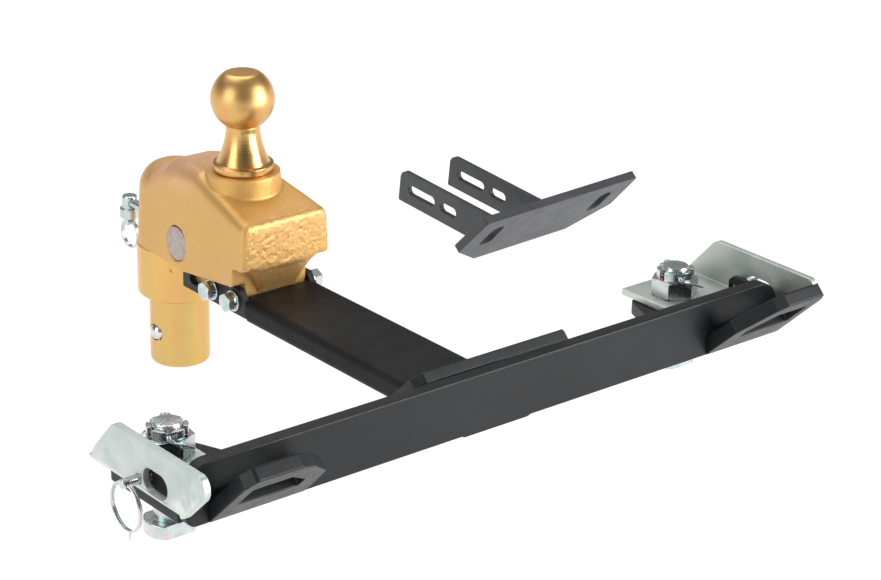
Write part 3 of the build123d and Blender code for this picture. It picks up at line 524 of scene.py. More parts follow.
def add_piece(node, form, look, name=None, stands_for=True):
    """Makes node_look, or name, from a bmesh; it rides with the node's body and has its finish."""
    name = name or f"{node}_{look}"
    for face in form.faces:
        face.smooth = True
    for edge in form.edges:
        edge.smooth = len(edge.link_faces) == 2 and edge.calc_face_angle(0.0) < SMOOTH_BELOW
    mesh = bpy.data.meshes.new(name)
    form.to_mesh(mesh)
    form.free()
    mesh.materials.append(finishes[node_slot[node]])
    piece = bpy.data.objects.new(name, mesh)
    scene.collection.objects.link(piece)
    even = piece.modifiers.new("even_shading", "WEIGHTED_NORMAL")
    even.keep_sharp = True
    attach(piece, node_body[node])
    if stands_for:
        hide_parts(node)
    print(name, len(mesh.polygons), "faces")
    return piece


# %% Rounding the edges of a solid
SAME_POINT = 0.002 * MM
SAME_PLANE = radians(0.4)
SHARPER_THAN = radians(24)


def copied(node):
    """A bmesh of a solid, with the doubled points along its sharp edges joined."""
    form = bmesh.new()
    form.from_mesh(frame["nodes"][node].data)
    bmesh.ops.remove_doubles(form, verts=form.verts, dist=SAME_POINT)
    bmesh.ops.dissolve_limit(form, angle_limit=SAME_PLANE, verts=form.verts, edges=form.edges)
    return form


def bevel(form, edges, width, segments):
    bmesh.ops.bevel(form, geom=edges, offset=width * MM, segments=segments, profile=0.5,
                    affect="EDGES", clamp_overlap=False)


def soften(form, width, steps=3, picks=None, picked_width=0.0):
    """Rounds the sharp edges by a width in mm; the edges that picks chooses have their own."""
    sharp = [edge for edge in form.edges
             if len(edge.link_faces) == 2 and edge.calc_face_angle(0.0) > SHARPER_THAN]
    if picks is not None:
        chosen = [edge for edge in sharp if picks(edge)]
        sharp = [edge for edge in sharp if edge not in chosen]
        bevel(form, chosen, picked_width, 2 * steps)
        sharp = [edge for edge in sharp if edge.is_valid]
    bevel(form, sharp, width, steps)
    return form


def add_softened(node, width, steps=3, **wider):
    return add_piece(node, soften(copied(node), width, steps, **wider), "rounded")


# %% Turning an outline
ON_AXIS_MM = 0.0001


def rounded(corners, steps=4, closed=False):
    """Corners of (radius, height, rounding) in mm as an outline with its corners rounded."""
    outline = []
    count = len(corners)
    for index, (r, h, rounding) in enumerate(corners):
        here = Vector((r, h))
        if rounding == 0 or (not closed and index in (0, count - 1)):
            outline.append((r, h))
            continue
        before = Vector(corners[index - 1][:2]) - here
        after = Vector(corners[(index + 1) % count][:2]) - here
        reach = min(rounding / tan(before.angle(after) / 2), before.length * 0.49, after.length * 0.49)
        start = here + before.normalized() * reach
        end = here + after.normalized() * reach
        for step in range(steps + 1):
            t = step / steps
            outline.append(tuple((1 - t) ** 2 * start + 2 * t * (1 - t) * here + t * t * end))
    return outline


def box_section(inner, outer, low, high, inner_round, outer_round, top_round=None):
    """The four corners of a ring's cross section, in mm, with how much each is rounded."""
    top = outer_round if top_round is None else top_round
    return [(inner, low, inner_round), (outer, low, outer_round),
            (outer, high, top), (inner, high, inner_round)]


def placed(form, axis, centre):
    """Stands a form that was made round Z on another axis through a centre in mm."""
    tilt = Vector(axis).to_track_quat("Z", "Y").to_matrix().to_4x4()
    place = Matrix.Translation(Vector(centre) * MM) @ tilt
    bmesh.ops.transform(form, matrix=place, verts=form.verts)
    return form


def join_rings(form, rings, closed=False):
    """Faces between each ring of points and the next."""
    for low, high in zip(rings, rings[1:] + (rings[:1] if closed else [])):
        for step in range(len(low)):
            following = (step + 1) % len(low)
            corners = list(dict.fromkeys((low[step], low[following], high[following], high[step])))
            if len(corners) > 2:
                form.faces.new(corners)


def turned(outline, segments=96, closed=False, shape=None, centre=(0, 0, 0), axis=(0, 0, 1)):
    """Turns an outline in mm round an axis; shape may move each point (angle, r, h)."""
    form = bmesh.new()
    rings = []
    for r, h in outline:
        if r < ON_AXIS_MM:
            rings.append([form.verts.new((0, 0, h * MM))] * segments)
            continue
        ring = []
        for step in range(segments):
            angle = 2 * pi * step / segments
            out, along = shape(angle, r, h) if shape else (r, h)
            ring.append(form.verts.new((out * cos(angle) * MM, out * sin(angle) * MM, along * MM)))
        rings.append(ring)
    join_rings(form, rings, closed)
    bmesh.ops.recalc_face_normals(form, faces=form.faces)
    return placed(form, axis, centre)


def turned_ring(corners, steps=4, **how):
    """A ring whose cross section has these corners."""
    return turned(rounded(corners, steps, closed=True), closed=True, **how)


# %% Drawing a wire
def wire(points, radius, sides=12, swell=None):
    """A round wire through points in mm; swell varies its radius along the way."""
    form = bmesh.new()
    places = [Vector(point) for point in points]
    last = len(places) - 1
    rings = []
    side = None
    for index, place in enumerate(places):
        along = (places[min(index + 1, last)] - places[max(index - 1, 0)]).normalized()
        if side is None:
            side = along.orthogonal().normalized()
        side = (side - along * side.dot(along)).normalized()
        across = along.cross(side)
        size = radius * (swell(index, len(places)) if swell else 1.0)
        ring = []
        for step in range(sides):
            angle = 2 * pi * step / sides
            point = place + side * (size * cos(angle)) + across * (size * sin(angle))
            ring.append(form.verts.new(point * MM))
        rings.append(ring)
    join_rings(form, rings)
    form.faces.new(rings[0][::-1])
    form.faces.new(rings[-1])
    bmesh.ops.recalc_face_normals(form, faces=form.faces)
    return form


def merged(forms):
    """Several bmeshes as one."""
    whole = forms[0]
    for other in forms[1:]:
        passing = bpy.data.meshes.new("passing")
        other.to_mesh(passing)
        other.free()
        whole.from_mesh(passing)
        bpy.data.meshes.remove(passing)
    return whole


print("shaping helpers ready")

# %% [markdown]
# The head is sand cast: its edges are round, its flats are never quite flat, and its front
# face, which nobody machines, is the roughest. A voxel remesh of the solid gives even small
# faces, smoothing rounds every edge as a mould does, and then each point moves a little
# by a noise that is stronger on the front face and round the rim of the boss.

# %% Even small faces over the head
VOXEL_MM = 1.1
SMOOTHING_STEPS = 3
NOSE_SMOOTHING_STEPS = 14
COLLAR_TOP_MM = 52.0
COLLAR_RADIUS_MM = 39.9
COLLAR_TOE_MM = 9.0
BALL_Y_MM = -110.7
BOSS_TOP_MM = 156.0
NOSE_Y_MM = -178.0
NOSE_DEPTH_MM = 13.0
TONGUE_TOP_MM = 79.0


def remeshed(node):
    """A bmesh of a solid rebuilt from small even faces, with its edges smoothed."""
    helper = bpy.data.objects.new("helper", frame["nodes"][node].data.copy())
    scene.collection.objects.link(helper)
    remesh = helper.modifiers.new("remesh", "REMESH")
    remesh.mode = "VOXEL"
    remesh.voxel_size = VOXEL_MM * MM
    smooth = helper.modifiers.new("smooth", "SMOOTH")
    smooth.factor = 0.5
    smooth.iterations = SMOOTHING_STEPS
    made = bpy.data.meshes.new_from_object(helper.evaluated_get(bpy.context.evaluated_depsgraph_get()))
    form = bmesh.new()
    form.from_mesh(made)
    bpy.data.objects.remove(helper)
    bpy.data.meshes.remove(made)
    return form


def round_nose(form):
    """Rounds the nose's edges further, as they are in the mould, but not the tongue below."""
    chosen = [vert for vert in form.verts
              if vert.co.y < (NOSE_Y_MM + NOSE_DEPTH_MM) * MM and vert.co.z > TONGUE_TOP_MM * MM]
    for step in range(NOSE_SMOOTHING_STEPS):
        bmesh.ops.smooth_vert(form, verts=chosen, factor=0.5,
                              use_axis_x=True, use_axis_y=True, use_axis_z=True)
    print("nose points", len(chosen))


head = remeshed("head_casting")
round_nose(head)
print("head faces", len(head.faces))

# %% The cast skin
BOSS_RIM_MM = 33.5
RIM_HALF_MM = 3.5
SKIN_DROP_MM = 0.12
# Width and height of the long waves, the lumps and the sand
WAVES_MM = (24.0, 0.35)
LUMPS_MM = (5.5, 0.3)
SAND_MM = (2.2, 0.28)
PITS_APART_MM = 2.8
PIT_LEVEL = 0.28
PIT_DEPTH_MM = 1.5
PIT_SHIFT_MM = 40.0
SMOOTH_SKIN = 0.25


def cast_roughness(x, y, z):
    """How rough the skin is at a place in mm: little on plain sides, most on front and rim."""
    front = max(0.0, min(1.0, (NOSE_Y_MM + 9.0 - y) / 6.0))
    off_rim = abs(hypot(x, y - BALL_Y_MM) - BOSS_RIM_MM)
    rim = max(0.0, 1.0 - off_rim / RIM_HALF_MM) if z > BOSS_TOP_MM - 9.0 else 0.0
    return SMOOTH_SKIN + (1.0 - SMOOTH_SKIN) * front + 0.5 * rim


def by_collar(x, y):
    return hypot(x, y) < COLLAR_RADIUS_MM + 1.5


def skin_noise(place, size):
    width, height = size
    return noise.noise(place / width) * height


def roughen(form):
    """Moves each point of the skin by waves, lumps, sand and pits, each from its own noise."""
    form.normal_update()
    moved = 0
    for vert in form.verts:
        x, y, z = vert.co / MM
        if z < COLLAR_TOP_MM and by_collar(x, y):
            continue
        rough = cast_roughness(x, y, z)
        place = Vector((x, y, z))
        wave = skin_noise(place, WAVES_MM)
        lumps = skin_noise(place, LUMPS_MM) * rough
        sand = skin_noise(place, SAND_MM) * rough
        hollow = PIT_LEVEL - noise.noise(Vector((x + PIT_SHIFT_MM, y, z)) / PITS_APART_MM)
        pit = min(0.0, hollow) * PIT_DEPTH_MM * max(0.0, rough - 0.3)
        vert.co += vert.normal * ((wave + lumps + sand + pit - SKIN_DROP_MM) * MM)
        moved += 1
    return moved


print("points roughened", roughen(head))

# %% Casting details
SOCKET_EDGE_MM = 30.5
TUCK_MM = 2.6
PARTING_STEP_MM = 0.7
PARTING_X_MM = (-14.0, 4.0)
PARTING_Y_MM = (-74.0, -60.0)
PARTING_LOW_MM = 145.0
COLLAR_FLOOR_MM = 1.4


def tuck_under_collar(form):
    """Pulls the cast mesh just inside the turned collar, which is a piece of its own."""
    for vert in form.verts:
        x, y, z = vert.co / MM
        around = hypot(x, y)
        if z > COLLAR_TOP_MM - 0.6 or not by_collar(x, y) or around < SOCKET_EDGE_MM:
            continue
        limit = COLLAR_RADIUS_MM - TUCK_MM
        if z < COLLAR_TOE_MM:
            dip = COLLAR_TOE_MM - z
            limit += sqrt(max(0.0, COLLAR_TOE_MM ** 2 - dip ** 2)) - COLLAR_TOE_MM
        if around > limit:
            vert.co.x *= limit / around
            vert.co.y *= limit / around
        vert.co.z = max(vert.co.z, COLLAR_FLOOR_MM * MM)


def add_parting_step(form):
    """The mould's small step on the top, just behind the boss, which fades out on three sides."""
    left, right = PARTING_X_MM
    back, front = PARTING_Y_MM
    for vert in form.verts:
        x, y, z = vert.co / MM
        if z > PARTING_LOW_MM and left < x < right and back < y < front:
            fade = min(1.0, (x - left) / 3.0, (right - x) / 3.0, (y - back) / 10.0)
            vert.co.z += PARTING_STEP_MM * fade * MM


tuck_under_collar(head)
add_parting_step(head)
for vert in head.verts:
    if vert.co.z < 0.0:
        vert.co.z = 0.0
add_piece("head_casting", head, "cast", name="head_cast_skin")

# %% [markdown]
# The collar below the casting is turned after casting, so it is smooth and bright. It is
# a ring with a small round at its top and a large one at its toe, and has one small dimple.

# %% Turned collar
SHANK_RADIUS_MM = 29.1
COLLAR_GAP_MM = 0.3
DIMPLE_HEADING = radians(47.0)  # counted from -X, because turned() gives its form a half turn
DIMPLE_Z_MM = 38.6
DIMPLE_HALF_WIDTH_MM = 3.0
DIMPLE_HALF_HEIGHT_MM = 5.6
DIMPLE_DEPTH_MM = 1.0
collar_corners = [
    (SHANK_RADIUS_MM + COLLAR_GAP_MM, 0.0, 0.4),
    (COLLAR_RADIUS_MM, 0.0, COLLAR_TOE_MM),
    *[(COLLAR_RADIUS_MM, 28.0 + 0.75 * step, 0.0) for step in range(31)],
    (COLLAR_RADIUS_MM, COLLAR_TOP_MM, 0.9),
    (SHANK_RADIUS_MM + COLLAR_GAP_MM, COLLAR_TOP_MM, 0.4),
]


def dimple(angle, r, h):
    """A small oval dimple below the skirt's edge, a shallow bowl under the coat."""
    if r < COLLAR_RADIUS_MM - 0.01:
        return r, h
    turn = (angle - DIMPLE_HEADING + pi) % (2 * pi) - pi
    aside = turn * COLLAR_RADIUS_MM / DIMPLE_HALF_WIDTH_MM
    off = hypot(aside, (h - DIMPLE_Z_MM) / DIMPLE_HALF_HEIGHT_MM)
    return r - DIMPLE_DEPTH_MM * max(0.0, 1.0 - off * off), h


collar = turned_ring(collar_corners, steps=10, segments=320, shape=dimple)
collar_piece = add_piece("head_casting", collar, "collar", name="head_collar")
collar_piece.data.materials.clear()
collar_piece.data.materials.append(finishes["gold_machined"])

# %% Shank
# The lock balls in the shank keep their solids, which are round already
add_softened("shank", 0.5)

# %% [markdown]
# The ball, its neck, its foot and the threaded stud are turned from one bar. The outline
# below is that lathe cut. A thread is the same idea, with the radius rising and falling
# as the angle and the height go up together.

# %% Thread and hexagon shapes for the lathe
CHAMFER = tan(radians(30))
CHAMFER_REACH_MM = 2.0
COARSE_PITCH_MM = 3.175


def thread(radius, depth, pitch, low, high):
    """Cuts a thread where the outline has that radius between two heights."""
    def cut(angle, r, h):
        if abs(r - radius) > 0.01 or not low < h < high:
            return r, h
        phase = (h / pitch - angle / (2 * pi)) % 1.0
        return r - depth * abs(2 * phase - 1), h
    return cut


def hexagon(flats, low, high, first_corner=0.0, both=True):
    """Turns the rim of an outline into a hexagon whose corners are chamfered at 30 degrees."""
    def cut(angle, r, h):
        if abs(r - flats / 2) > 0.01:
            return r, h
        within = (angle - first_corner) % (pi / 3) - pi / 6
        out = r / cos(within)
        drop = (out - r) * CHAMFER
        if h > high - CHAMFER_REACH_MM:
            return out, h - drop
        if both and h < low + CHAMFER_REACH_MM:
            return out, h + drop
        return out, h
    return cut


def dense(radius, low, high, step):
    """Outline points up a straight wall, close enough together to carry a thread."""
    count = max(2, round((high - low) / step))
    return [(radius, low + (high - low) * index / count) for index in range(count + 1)]


# %% Ball
BALL_RADIUS_MM = 29.37
BALL_CENTRE_MM = 223.6
BALL_STEPS = 40
BALL_FLAT_MM = 15.4
NECK_TOP_MM = 15.6
NECK_STEPS = 18
STUD_RADIUS_MM = 15.875
STUD_END_MM = 78.0


def arc_through(first, middle, last, steps):
    """Points of the circle through three points, without the first one."""
    (ax, ay), (bx, by), (cx, cy) = first, middle, last
    twice = 2 * (ax * (by - cy) + bx * (cy - ay) + cx * (ay - by))
    a2, b2, c2 = ax * ax + ay * ay, bx * bx + by * by, cx * cx + cy * cy
    centre_x = (a2 * (by - cy) + b2 * (cy - ay) + c2 * (ay - by)) / twice
    centre_y = (a2 * (cx - bx) + b2 * (ax - cx) + c2 * (bx - ax)) / twice
    reach = hypot(ax - centre_x, ay - centre_y)
    start = atan2(ay - centre_y, ax - centre_x) % (2 * pi)
    end = atan2(cy - centre_y, cx - centre_x) % (2 * pi)
    angles = [start + (end - start) * step / steps for step in range(1, steps + 1)]
    return [(centre_x + reach * cos(angle), centre_y + reach * sin(angle)) for angle in angles]


def ball_outline():
    """The cut from the ball's flat top down its neck, round its foot and along its stud."""
    top = asin(BALL_FLAT_MM / BALL_RADIUS_MM)
    bottom = pi - asin(NECK_TOP_MM / BALL_RADIUS_MM)
    flat_z = BALL_CENTRE_MM + BALL_RADIUS_MM * cos(top)
    outline = [(0.0, flat_z), (13.9, flat_z), (14.8, flat_z - 0.12)]
    for step in range(1, BALL_STEPS + 1):
        angle = top + (bottom - top) * step / BALL_STEPS
        outline.append((BALL_RADIUS_MM * sin(angle), BALL_CENTRE_MM + BALL_RADIUS_MM * cos(angle)))
    outline += [(15.75, 198.0), (NECK_TOP_MM, 197.2), (NECK_TOP_MM, 194.0)]
    outline += arc_through((NECK_TOP_MM, 194.0), (18.6, 179.0), (24.4, 163.9), NECK_STEPS)
    outline += [(24.9, 163.55), (26.9, 163.45), (27.7, 163.2), (28.1, 162.7), (28.2, 162.2)]
    outline += [(28.2, 157.3), (27.9, 156.8), (27.3, 156.1)]
    outline += [(STUD_RADIUS_MM, 156.05), (STUD_RADIUS_MM, 112.0)]
    outline += dense(STUD_RADIUS_MM, STUD_END_MM + 1.5, 111.5, 0.6)[::-1]
    return outline + [(STUD_RADIUS_MM - 1.5, STUD_END_MM), (0.0, STUD_END_MM)]


ball = turned(ball_outline(), segments=128, centre=(0, BALL_Y_MM, 0),
              shape=thread(STUD_RADIUS_MM, 1.2, COARSE_PITCH_MM, STUD_END_MM + 1.0, 111.0))
add_piece("hitch_ball", ball, "turned")

# %% Ball washer and nut
BALL_NUT_FLATS_MM = 47.6
BALL_NUT_LOW_MM = 81.5
BALL_NUT_TOP_MM = 108.5
washer_corners = box_section(15.95, 27.5, BALL_NUT_TOP_MM, 112.0, 0.3, 0.5)
add_piece("ball_washer", turned_ring(washer_corners, centre=(0, BALL_Y_MM, 0)), "turned")
nut_rim = BALL_NUT_FLATS_MM / 2
ball_nut_outline = [(16.6, BALL_NUT_LOW_MM), (22.6, BALL_NUT_LOW_MM), (nut_rim, 82.0), (nut_rim, 108.1),
                    (22.6, BALL_NUT_TOP_MM), (16.6, BALL_NUT_TOP_MM),
                    (STUD_RADIUS_MM, 107.3), (STUD_RADIUS_MM, 82.7)]
ball_nut = turned(ball_nut_outline, closed=True, centre=(0, BALL_Y_MM, 0),
                  shape=hexagon(BALL_NUT_FLATS_MM, BALL_NUT_LOW_MM, BALL_NUT_TOP_MM))
add_piece("ball_nut", ball_nut, "hex")

# %% [markdown]
# Side plugs are ground discs pressed into the casting, with a thin dark gap round each. The
# knob is turned in steps, and its pull ring is a flat band rather than a round wire.

# %% Side plugs
PLUG_RADIUS_MM = 16.6
PLUG_INNER_MM = 32.2
PLUG_CENTRE_MM = (0, -60.0, 76.0)
plug_corners = [(0.0, PLUG_INNER_MM, 0.0), (PLUG_RADIUS_MM, PLUG_INNER_MM, 0.4),
                (PLUG_RADIUS_MM, 41.95, 0.9), (0.0, 42.0, 0.0)]
for side, hand in SIDES:
    plug = turned(rounded(plug_corners), axis=(side, 0, 0), centre=PLUG_CENTRE_MM)
    add_piece(f"side_plug_{hand}", plug, "turned")

# %% Release pin, knob and ring
PULL_RING_CENTRE_MM = (0.0, 84.5, 32.5)
add_softened("release_pin", 0.4, steps=2)
add_softened("release_knob", 0.9)
band_corners = box_section(12.9, 15.1, -2.0, 2.0, 0.5, 0.5)
band = turned_ring(band_corners, axis=(1, 0, 0), centre=PULL_RING_CENTRE_MM)
add_piece("release_ring", band, "band")

# %% [markdown]
# The cam spring is a real coil here, because the solid is only a tube. Its top rests on the
# casting, and it rides with the base.

# %% Cam spring
SPRING_LOW_MM = 88.0
SPRING_HIGH_MM = 118.0
SPRING_TURNS = 7.5
SPRING_RADIUS_MM = 7.0
SPRING_WIRE_MM = 0.95
POINTS_PER_TURN = 28


def coil_points():
    """Points of a coil with closed ends, which lie nearly flat for most of a turn each."""
    points = []
    total = round(SPRING_TURNS * POINTS_PER_TURN)
    for step in range(total + 1):
        part = step / total
        climb = min(1.0, max(0.0, (part * SPRING_TURNS - 0.8) / (SPRING_TURNS - 1.6)))
        height = SPRING_LOW_MM + 1.0 + climb * (SPRING_HIGH_MM - SPRING_LOW_MM - 2.0)
        angle = 2 * pi * SPRING_TURNS * part
        points.append((SPRING_RADIUS_MM * cos(angle), SPRING_RADIUS_MM * sin(angle), height))
    return points


spring = add_piece("cam_spring", wire(coil_points(), SPRING_WIRE_MM, sides=10), "coil")
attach(spring, "base")
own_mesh(spring)
add_softened("cam_rod", 0.3, steps=2)
add_softened("cross_dowel", 0.4, steps=2)

# %% [markdown]
# Each strap bolt has a hexagon head, a split spring washer and a wide flat washer. The head
# is a turned disc whose rim is pushed out to six corners, which gives the curved chamfer
# lines that real heads have. The bolts lie along X, heads on the left and nuts on the right.

# %% Strap bolts
BOLT_CENTRES_MM = ((0, -118.0, 49.1), (0, -152.0, 49.1))
CLAMP_X_MM = 45.85
HEAD_FLATS_MM = 16.0
HEAD_TOP_MM = CLAMP_X_MM + 6.4
NUT_FACE_MM = CLAMP_X_MM + 8.4
BOLT_RADIUS_MM = 5.0
BOLT_BORE_MM = 5.05
BOLT_END_MM = 57.25
rim = HEAD_FLATS_MM / 2
plain = BOLT_RADIUS_MM - 0.02
head_outline = [(0.0, HEAD_TOP_MM - 0.35), (3.2, HEAD_TOP_MM - 0.35), (4.2, HEAD_TOP_MM - 0.05),
                (7.4, HEAD_TOP_MM), (rim, HEAD_TOP_MM - 0.25), (rim, CLAMP_X_MM + 0.4),
                (7.6, CLAMP_X_MM + 0.05), (BOLT_RADIUS_MM - 0.05, CLAMP_X_MM + 0.02),
                (0.0, CLAMP_X_MM + 0.02)]
rod_outline = [(0.0, -CLAMP_X_MM), (plain, -CLAMP_X_MM + 0.1), (plain, 20.0),
               *dense(BOLT_RADIUS_MM, 21.0, BOLT_END_MM - 0.9, 0.3),
               (BOLT_RADIUS_MM - 0.9, BOLT_END_MM), (0.0, BOLT_END_MM)]
nut_outline = [(5.9, CLAMP_X_MM), (7.5, CLAMP_X_MM), (rim, CLAMP_X_MM + 0.25), (rim, NUT_FACE_MM - 0.25),
               (7.5, NUT_FACE_MM), (5.9, NUT_FACE_MM),
               (BOLT_BORE_MM, NUT_FACE_MM - 0.9), (BOLT_BORE_MM, CLAMP_X_MM + 0.9)]
head_shape = hexagon(HEAD_FLATS_MM, CLAMP_X_MM, HEAD_TOP_MM, first_corner=pi / 6, both=False)
nut_shape = hexagon(HEAD_FLATS_MM, CLAMP_X_MM, NUT_FACE_MM, first_corner=pi / 6)
rod_shape = thread(BOLT_RADIUS_MM, 0.75, 1.5, 20.5, BOLT_END_MM - 0.5)
bolts = []
nuts = []
for centre in BOLT_CENTRES_MM:
    bolts.append(turned(head_outline, axis=(-1, 0, 0), centre=centre, shape=head_shape))
    bolts.append(turned(rod_outline, segments=48, axis=(1, 0, 0), centre=centre, shape=rod_shape))
    nuts.append(turned(nut_outline, closed=True, axis=(1, 0, 0), centre=centre, shape=nut_shape))
add_piece("strap_bolts", merged(bolts), "hex")
add_piece("strap_nuts", merged(nuts), "hex")

# %% Washers
SPLIT_HALF_ANGLE = radians(5)
WASHER_SEGMENTS = 72


def split_ring(side, centre):
    """A spring washer: a ring with a narrow gap cut through it."""
    corners = box_section(BOLT_BORE_MM, 8.6, 43.66, 45.83, 0.2, 0.3)
    form = turned_ring(corners, steps=2, segments=WASHER_SEGMENTS)
    cut = [face for face in form.faces
           if abs(atan2(*face.calc_center_median().yx)) < SPLIT_HALF_ANGLE]
    bmesh.ops.delete(form, geom=cut, context="FACES")
    open_edges = [edge for edge in form.edges if len(edge.link_faces) == 1]
    bmesh.ops.holes_fill(form, edges=open_edges, sides=0)
    bmesh.ops.recalc_face_normals(form, faces=form.faces)
    return placed(form, (side, 0, 0), centre)


flat_corners = box_section(BOLT_BORE_MM, 10.0, 41.15, 43.63, 0.2, 0.5, top_round=0.8)
flat_washers = []
spring_washers = []
for side, hand in SIDES:
    for centre in BOLT_CENTRES_MM:
        flat_washers.append(turned_ring(flat_corners, segments=WASHER_SEGMENTS,
                                        axis=(side, 0, 0), centre=centre))
        spring_washers.append(split_ring(side, centre))
add_piece("strap_washers", merged(flat_washers), "turned")
add_piece("spring_washers", merged(spring_washers), "split")

# %% [markdown]
# The black parts are cut from plate and bar and welded together. Their edges are ground
# a little and then coated, so each gets a rounding to suit its thickness. The arm keeps the
# rounding of its solid. The welds are beads of overlapping ripples in the corners.

# %% Plates and bars
for node, width in (("strap_left", 0.5), ("strap_right", 0.5), ("crossbar", 0.8),
                    ("gusset_plate", 0.8), ("pad_left", 0.9), ("pad_right", 0.9), ("lock_tab_left", 0.7),
                    ("lock_tab_right", 0.7), ("chain_loop_left", 0.9), ("chain_loop_right", 0.9)):
    add_softened(node, width)
for node, width in (("bracket_plate", 0.7), ("bracket_arm_left", 0.6), ("bracket_arm_right", 0.6),
                    ("bracket_block", 0.8)):
    add_softened(node, width).data.materials[0] = finishes["bracket_painted_light_coat"]
add_piece("arm_bar", copied("arm_bar"), "rounded").data.materials[0] = finishes["arm_coat"]

# %% Weld beads
ARM_SIDE_MM = 41.0
ARM_TOP_MM = 55.3
BAR_BACK_MM = -473.8
BAR_FRONT_MM = -486.5
PAD_TOP_MM = 52.8
GUSSET_FOOT_MM = -421.6
LOOP_WELD_Z_MM = 58.4
LOOP_WELD_LENGTH_MM = 89
BAR_END_MM = {"left": 316.0, "right": 324.0}
LOOP_START_MM = {"left": 208, "right": 232}


def weld(name, start, end, radius, node, ripple=2.6):
    """A bead from start to end in mm, with a ripple for each drop of the weld."""
    first, last = Vector(start), Vector(end)
    length = (last - first).length
    count = max(8, round(length / 0.65))
    points = []
    for index in range(count + 1):
        part = index / count
        sway = noise.noise(Vector((part * length / 9.0, radius, 1.7))) * 0.35
        points.append(first.lerp(last, part) + Vector((sway, sway, sway)) * 0.5)

    def swell(index, total):
        part = index / (total - 1)
        ends = min(1.0, 0.35 + min(part, 1 - part) * length / 3.5)
        return ends * (0.95 + 0.09 * sin(2 * pi * part * length / ripple))

    add_piece(node, wire(points, radius, sides=16, swell=swell), "weld", name, stands_for=False)


foot_z = ARM_TOP_MM + 0.4
weld("weld_gusset_foot", (-33, GUSSET_FOOT_MM, foot_z), (33, GUSSET_FOOT_MM, foot_z), 2.6, "arm_bar")
for side, hand in SIDES:
    arm_x = side * (ARM_SIDE_MM + 0.4)
    arm_y = BAR_BACK_MM + 0.5
    weld(f"weld_arm_{hand}", (arm_x, arm_y, 41), (arm_x, arm_y, 48), 3.0, "arm_bar")
    pad_y = BAR_BACK_MM + 0.6
    pad_z = PAD_TOP_MM + 0.4
    pad_end = side * (BAR_END_MM[hand] - 8)
    weld(f"weld_pad_{hand}", (side * 207, pad_y, pad_z), (pad_end, pad_y, pad_z), 3.0, "crossbar")
    tab_x = side * (BAR_END_MM[hand] - 5.4)
    tab_z = PAD_TOP_MM + 0.3
    weld(f"weld_tab_{hand}", (tab_x, -429, tab_z), (tab_x, -470, tab_z), 2.0, "crossbar")
    loop_y = BAR_FRONT_MM - 0.8
    loop_start = LOOP_START_MM[hand]
    loop_end = min(loop_start + LOOP_WELD_LENGTH_MM, 316)
    weld(f"weld_loop_{hand}", (side * (loop_start + 3), loop_y, LOOP_WELD_Z_MM),
         (side * loop_end, loop_y, LOOP_WELD_Z_MM), 5.0, "crossbar", ripple=4.2)

# %% Welds on the loose bracket
BRACKET_TURN = radians(3.56)
BRACKET_LEAN = radians(46.6)
BRACKET_THICK_MM = 9.5
BRACKET_FOOT_MM = Vector((469.1, 33.2, -71.0))
BRACKET_WELD_MM = 41.55
bracket_along = facing(BRACKET_TURN)
bracket_back = facing(BRACKET_TURN + pi / 2)


def on_bracket_back(height, beside):
    """A place on the leaning plate's back face, at a height above its foot."""
    run = -height / tan(BRACKET_LEAN) + BRACKET_THICK_MM / sin(BRACKET_LEAN)
    return BRACKET_FOOT_MM + bracket_along * beside + bracket_back * run + Vector((0, 0, height))


for side, hand in SIDES:
    low, high = (on_bracket_back(height, side * BRACKET_WELD_MM) for height in (6, 36))
    weld(f"weld_bracket_{hand}", low, high, 2.4, "bracket_plate")

# %% [markdown]
# An anchor is a stud with a thread at its top, a castle nut with slots in its crown, and
# a cotter pin through both, so that the nut can't turn. The stud's end is sawn and rough.
# The cotter is a folded half round wire: an eye at the back and two legs bent apart.

# %% Anchor studs
ANCHOR_X_MM = 276.6
ANCHOR_Y_MM = -398.2
ANCHOR_RADIUS_MM = 12.7
FOOT_FLATS_MM = 32.0
FOOT_MIN_MM = 19.5
SHAFT_MM = ANCHOR_RADIUS_MM + 0.01
SAWN_MM = 87.0
stud_thread = thread(ANCHOR_RADIUS_MM, 0.9, COARSE_PITCH_MM, 60.0, 86.6)
stud_corners = [(0.0, -8.0, 0), (21.0, -8.0, 1.2), (21.0, 4.0, 1.2), (SHAFT_MM, 4.0, 0.8),
                (SHAFT_MM, 34.1, 0.5), (19.0, 34.1, 0.6), (19.0, 39.8, 0.6),
                (SHAFT_MM, 39.8, 0.0), (SHAFT_MM, 60.0, 0.0)]
stud_outline = rounded(stud_corners) + dense(ANCHOR_RADIUS_MM, 60.5, 86.2, 0.55)
stud_outline += [(11.3, 87.35), (9.5, 87.6), (0.0, 87.6)]


def stud_shape(angle, r, h):
    """Cuts two flats on the foot and a thread on the stud's top end."""
    if r > FOOT_MIN_MM:
        reach = FOOT_FLATS_MM / 2 / max(0.0001, abs(sin(angle)))
        return min(r, reach), h
    return stud_thread(angle, r, h)


for side, hand in SIDES:
    stud = turned(stud_outline, shape=stud_shape, centre=(side * ANCHOR_X_MM, ANCHOR_Y_MM, 0))
    for vert in stud.verts:
        if vert.co.z > SAWN_MM * MM:
            vert.co.z -= abs(noise.noise(vert.co * 900.0)) * 0.5 * MM
    add_piece(f"anchor_stud_{hand}", stud, "turned")

# %% Castle nuts
NUT_LOW_MM = 59.5
NUT_HEX_TOP_MM = 76.5
NUT_CHAMFER_MM = 1.5
NUT_HALF_FLATS_MM = 19.05
NUT_RIM_MM = 18.5


def off_anchor(vert, centre_x):
    """How far a point lies from the anchor's axis, in mm."""
    return hypot(vert.co.x / MM - centre_x, vert.co.y / MM - ANCHOR_Y_MM)


def on_rim(edge, centre_x):
    level = abs(edge.verts[0].co.z - edge.verts[1].co.z) < MM
    return level and all(off_anchor(vert, centre_x) > NUT_RIM_MM for vert in edge.verts)


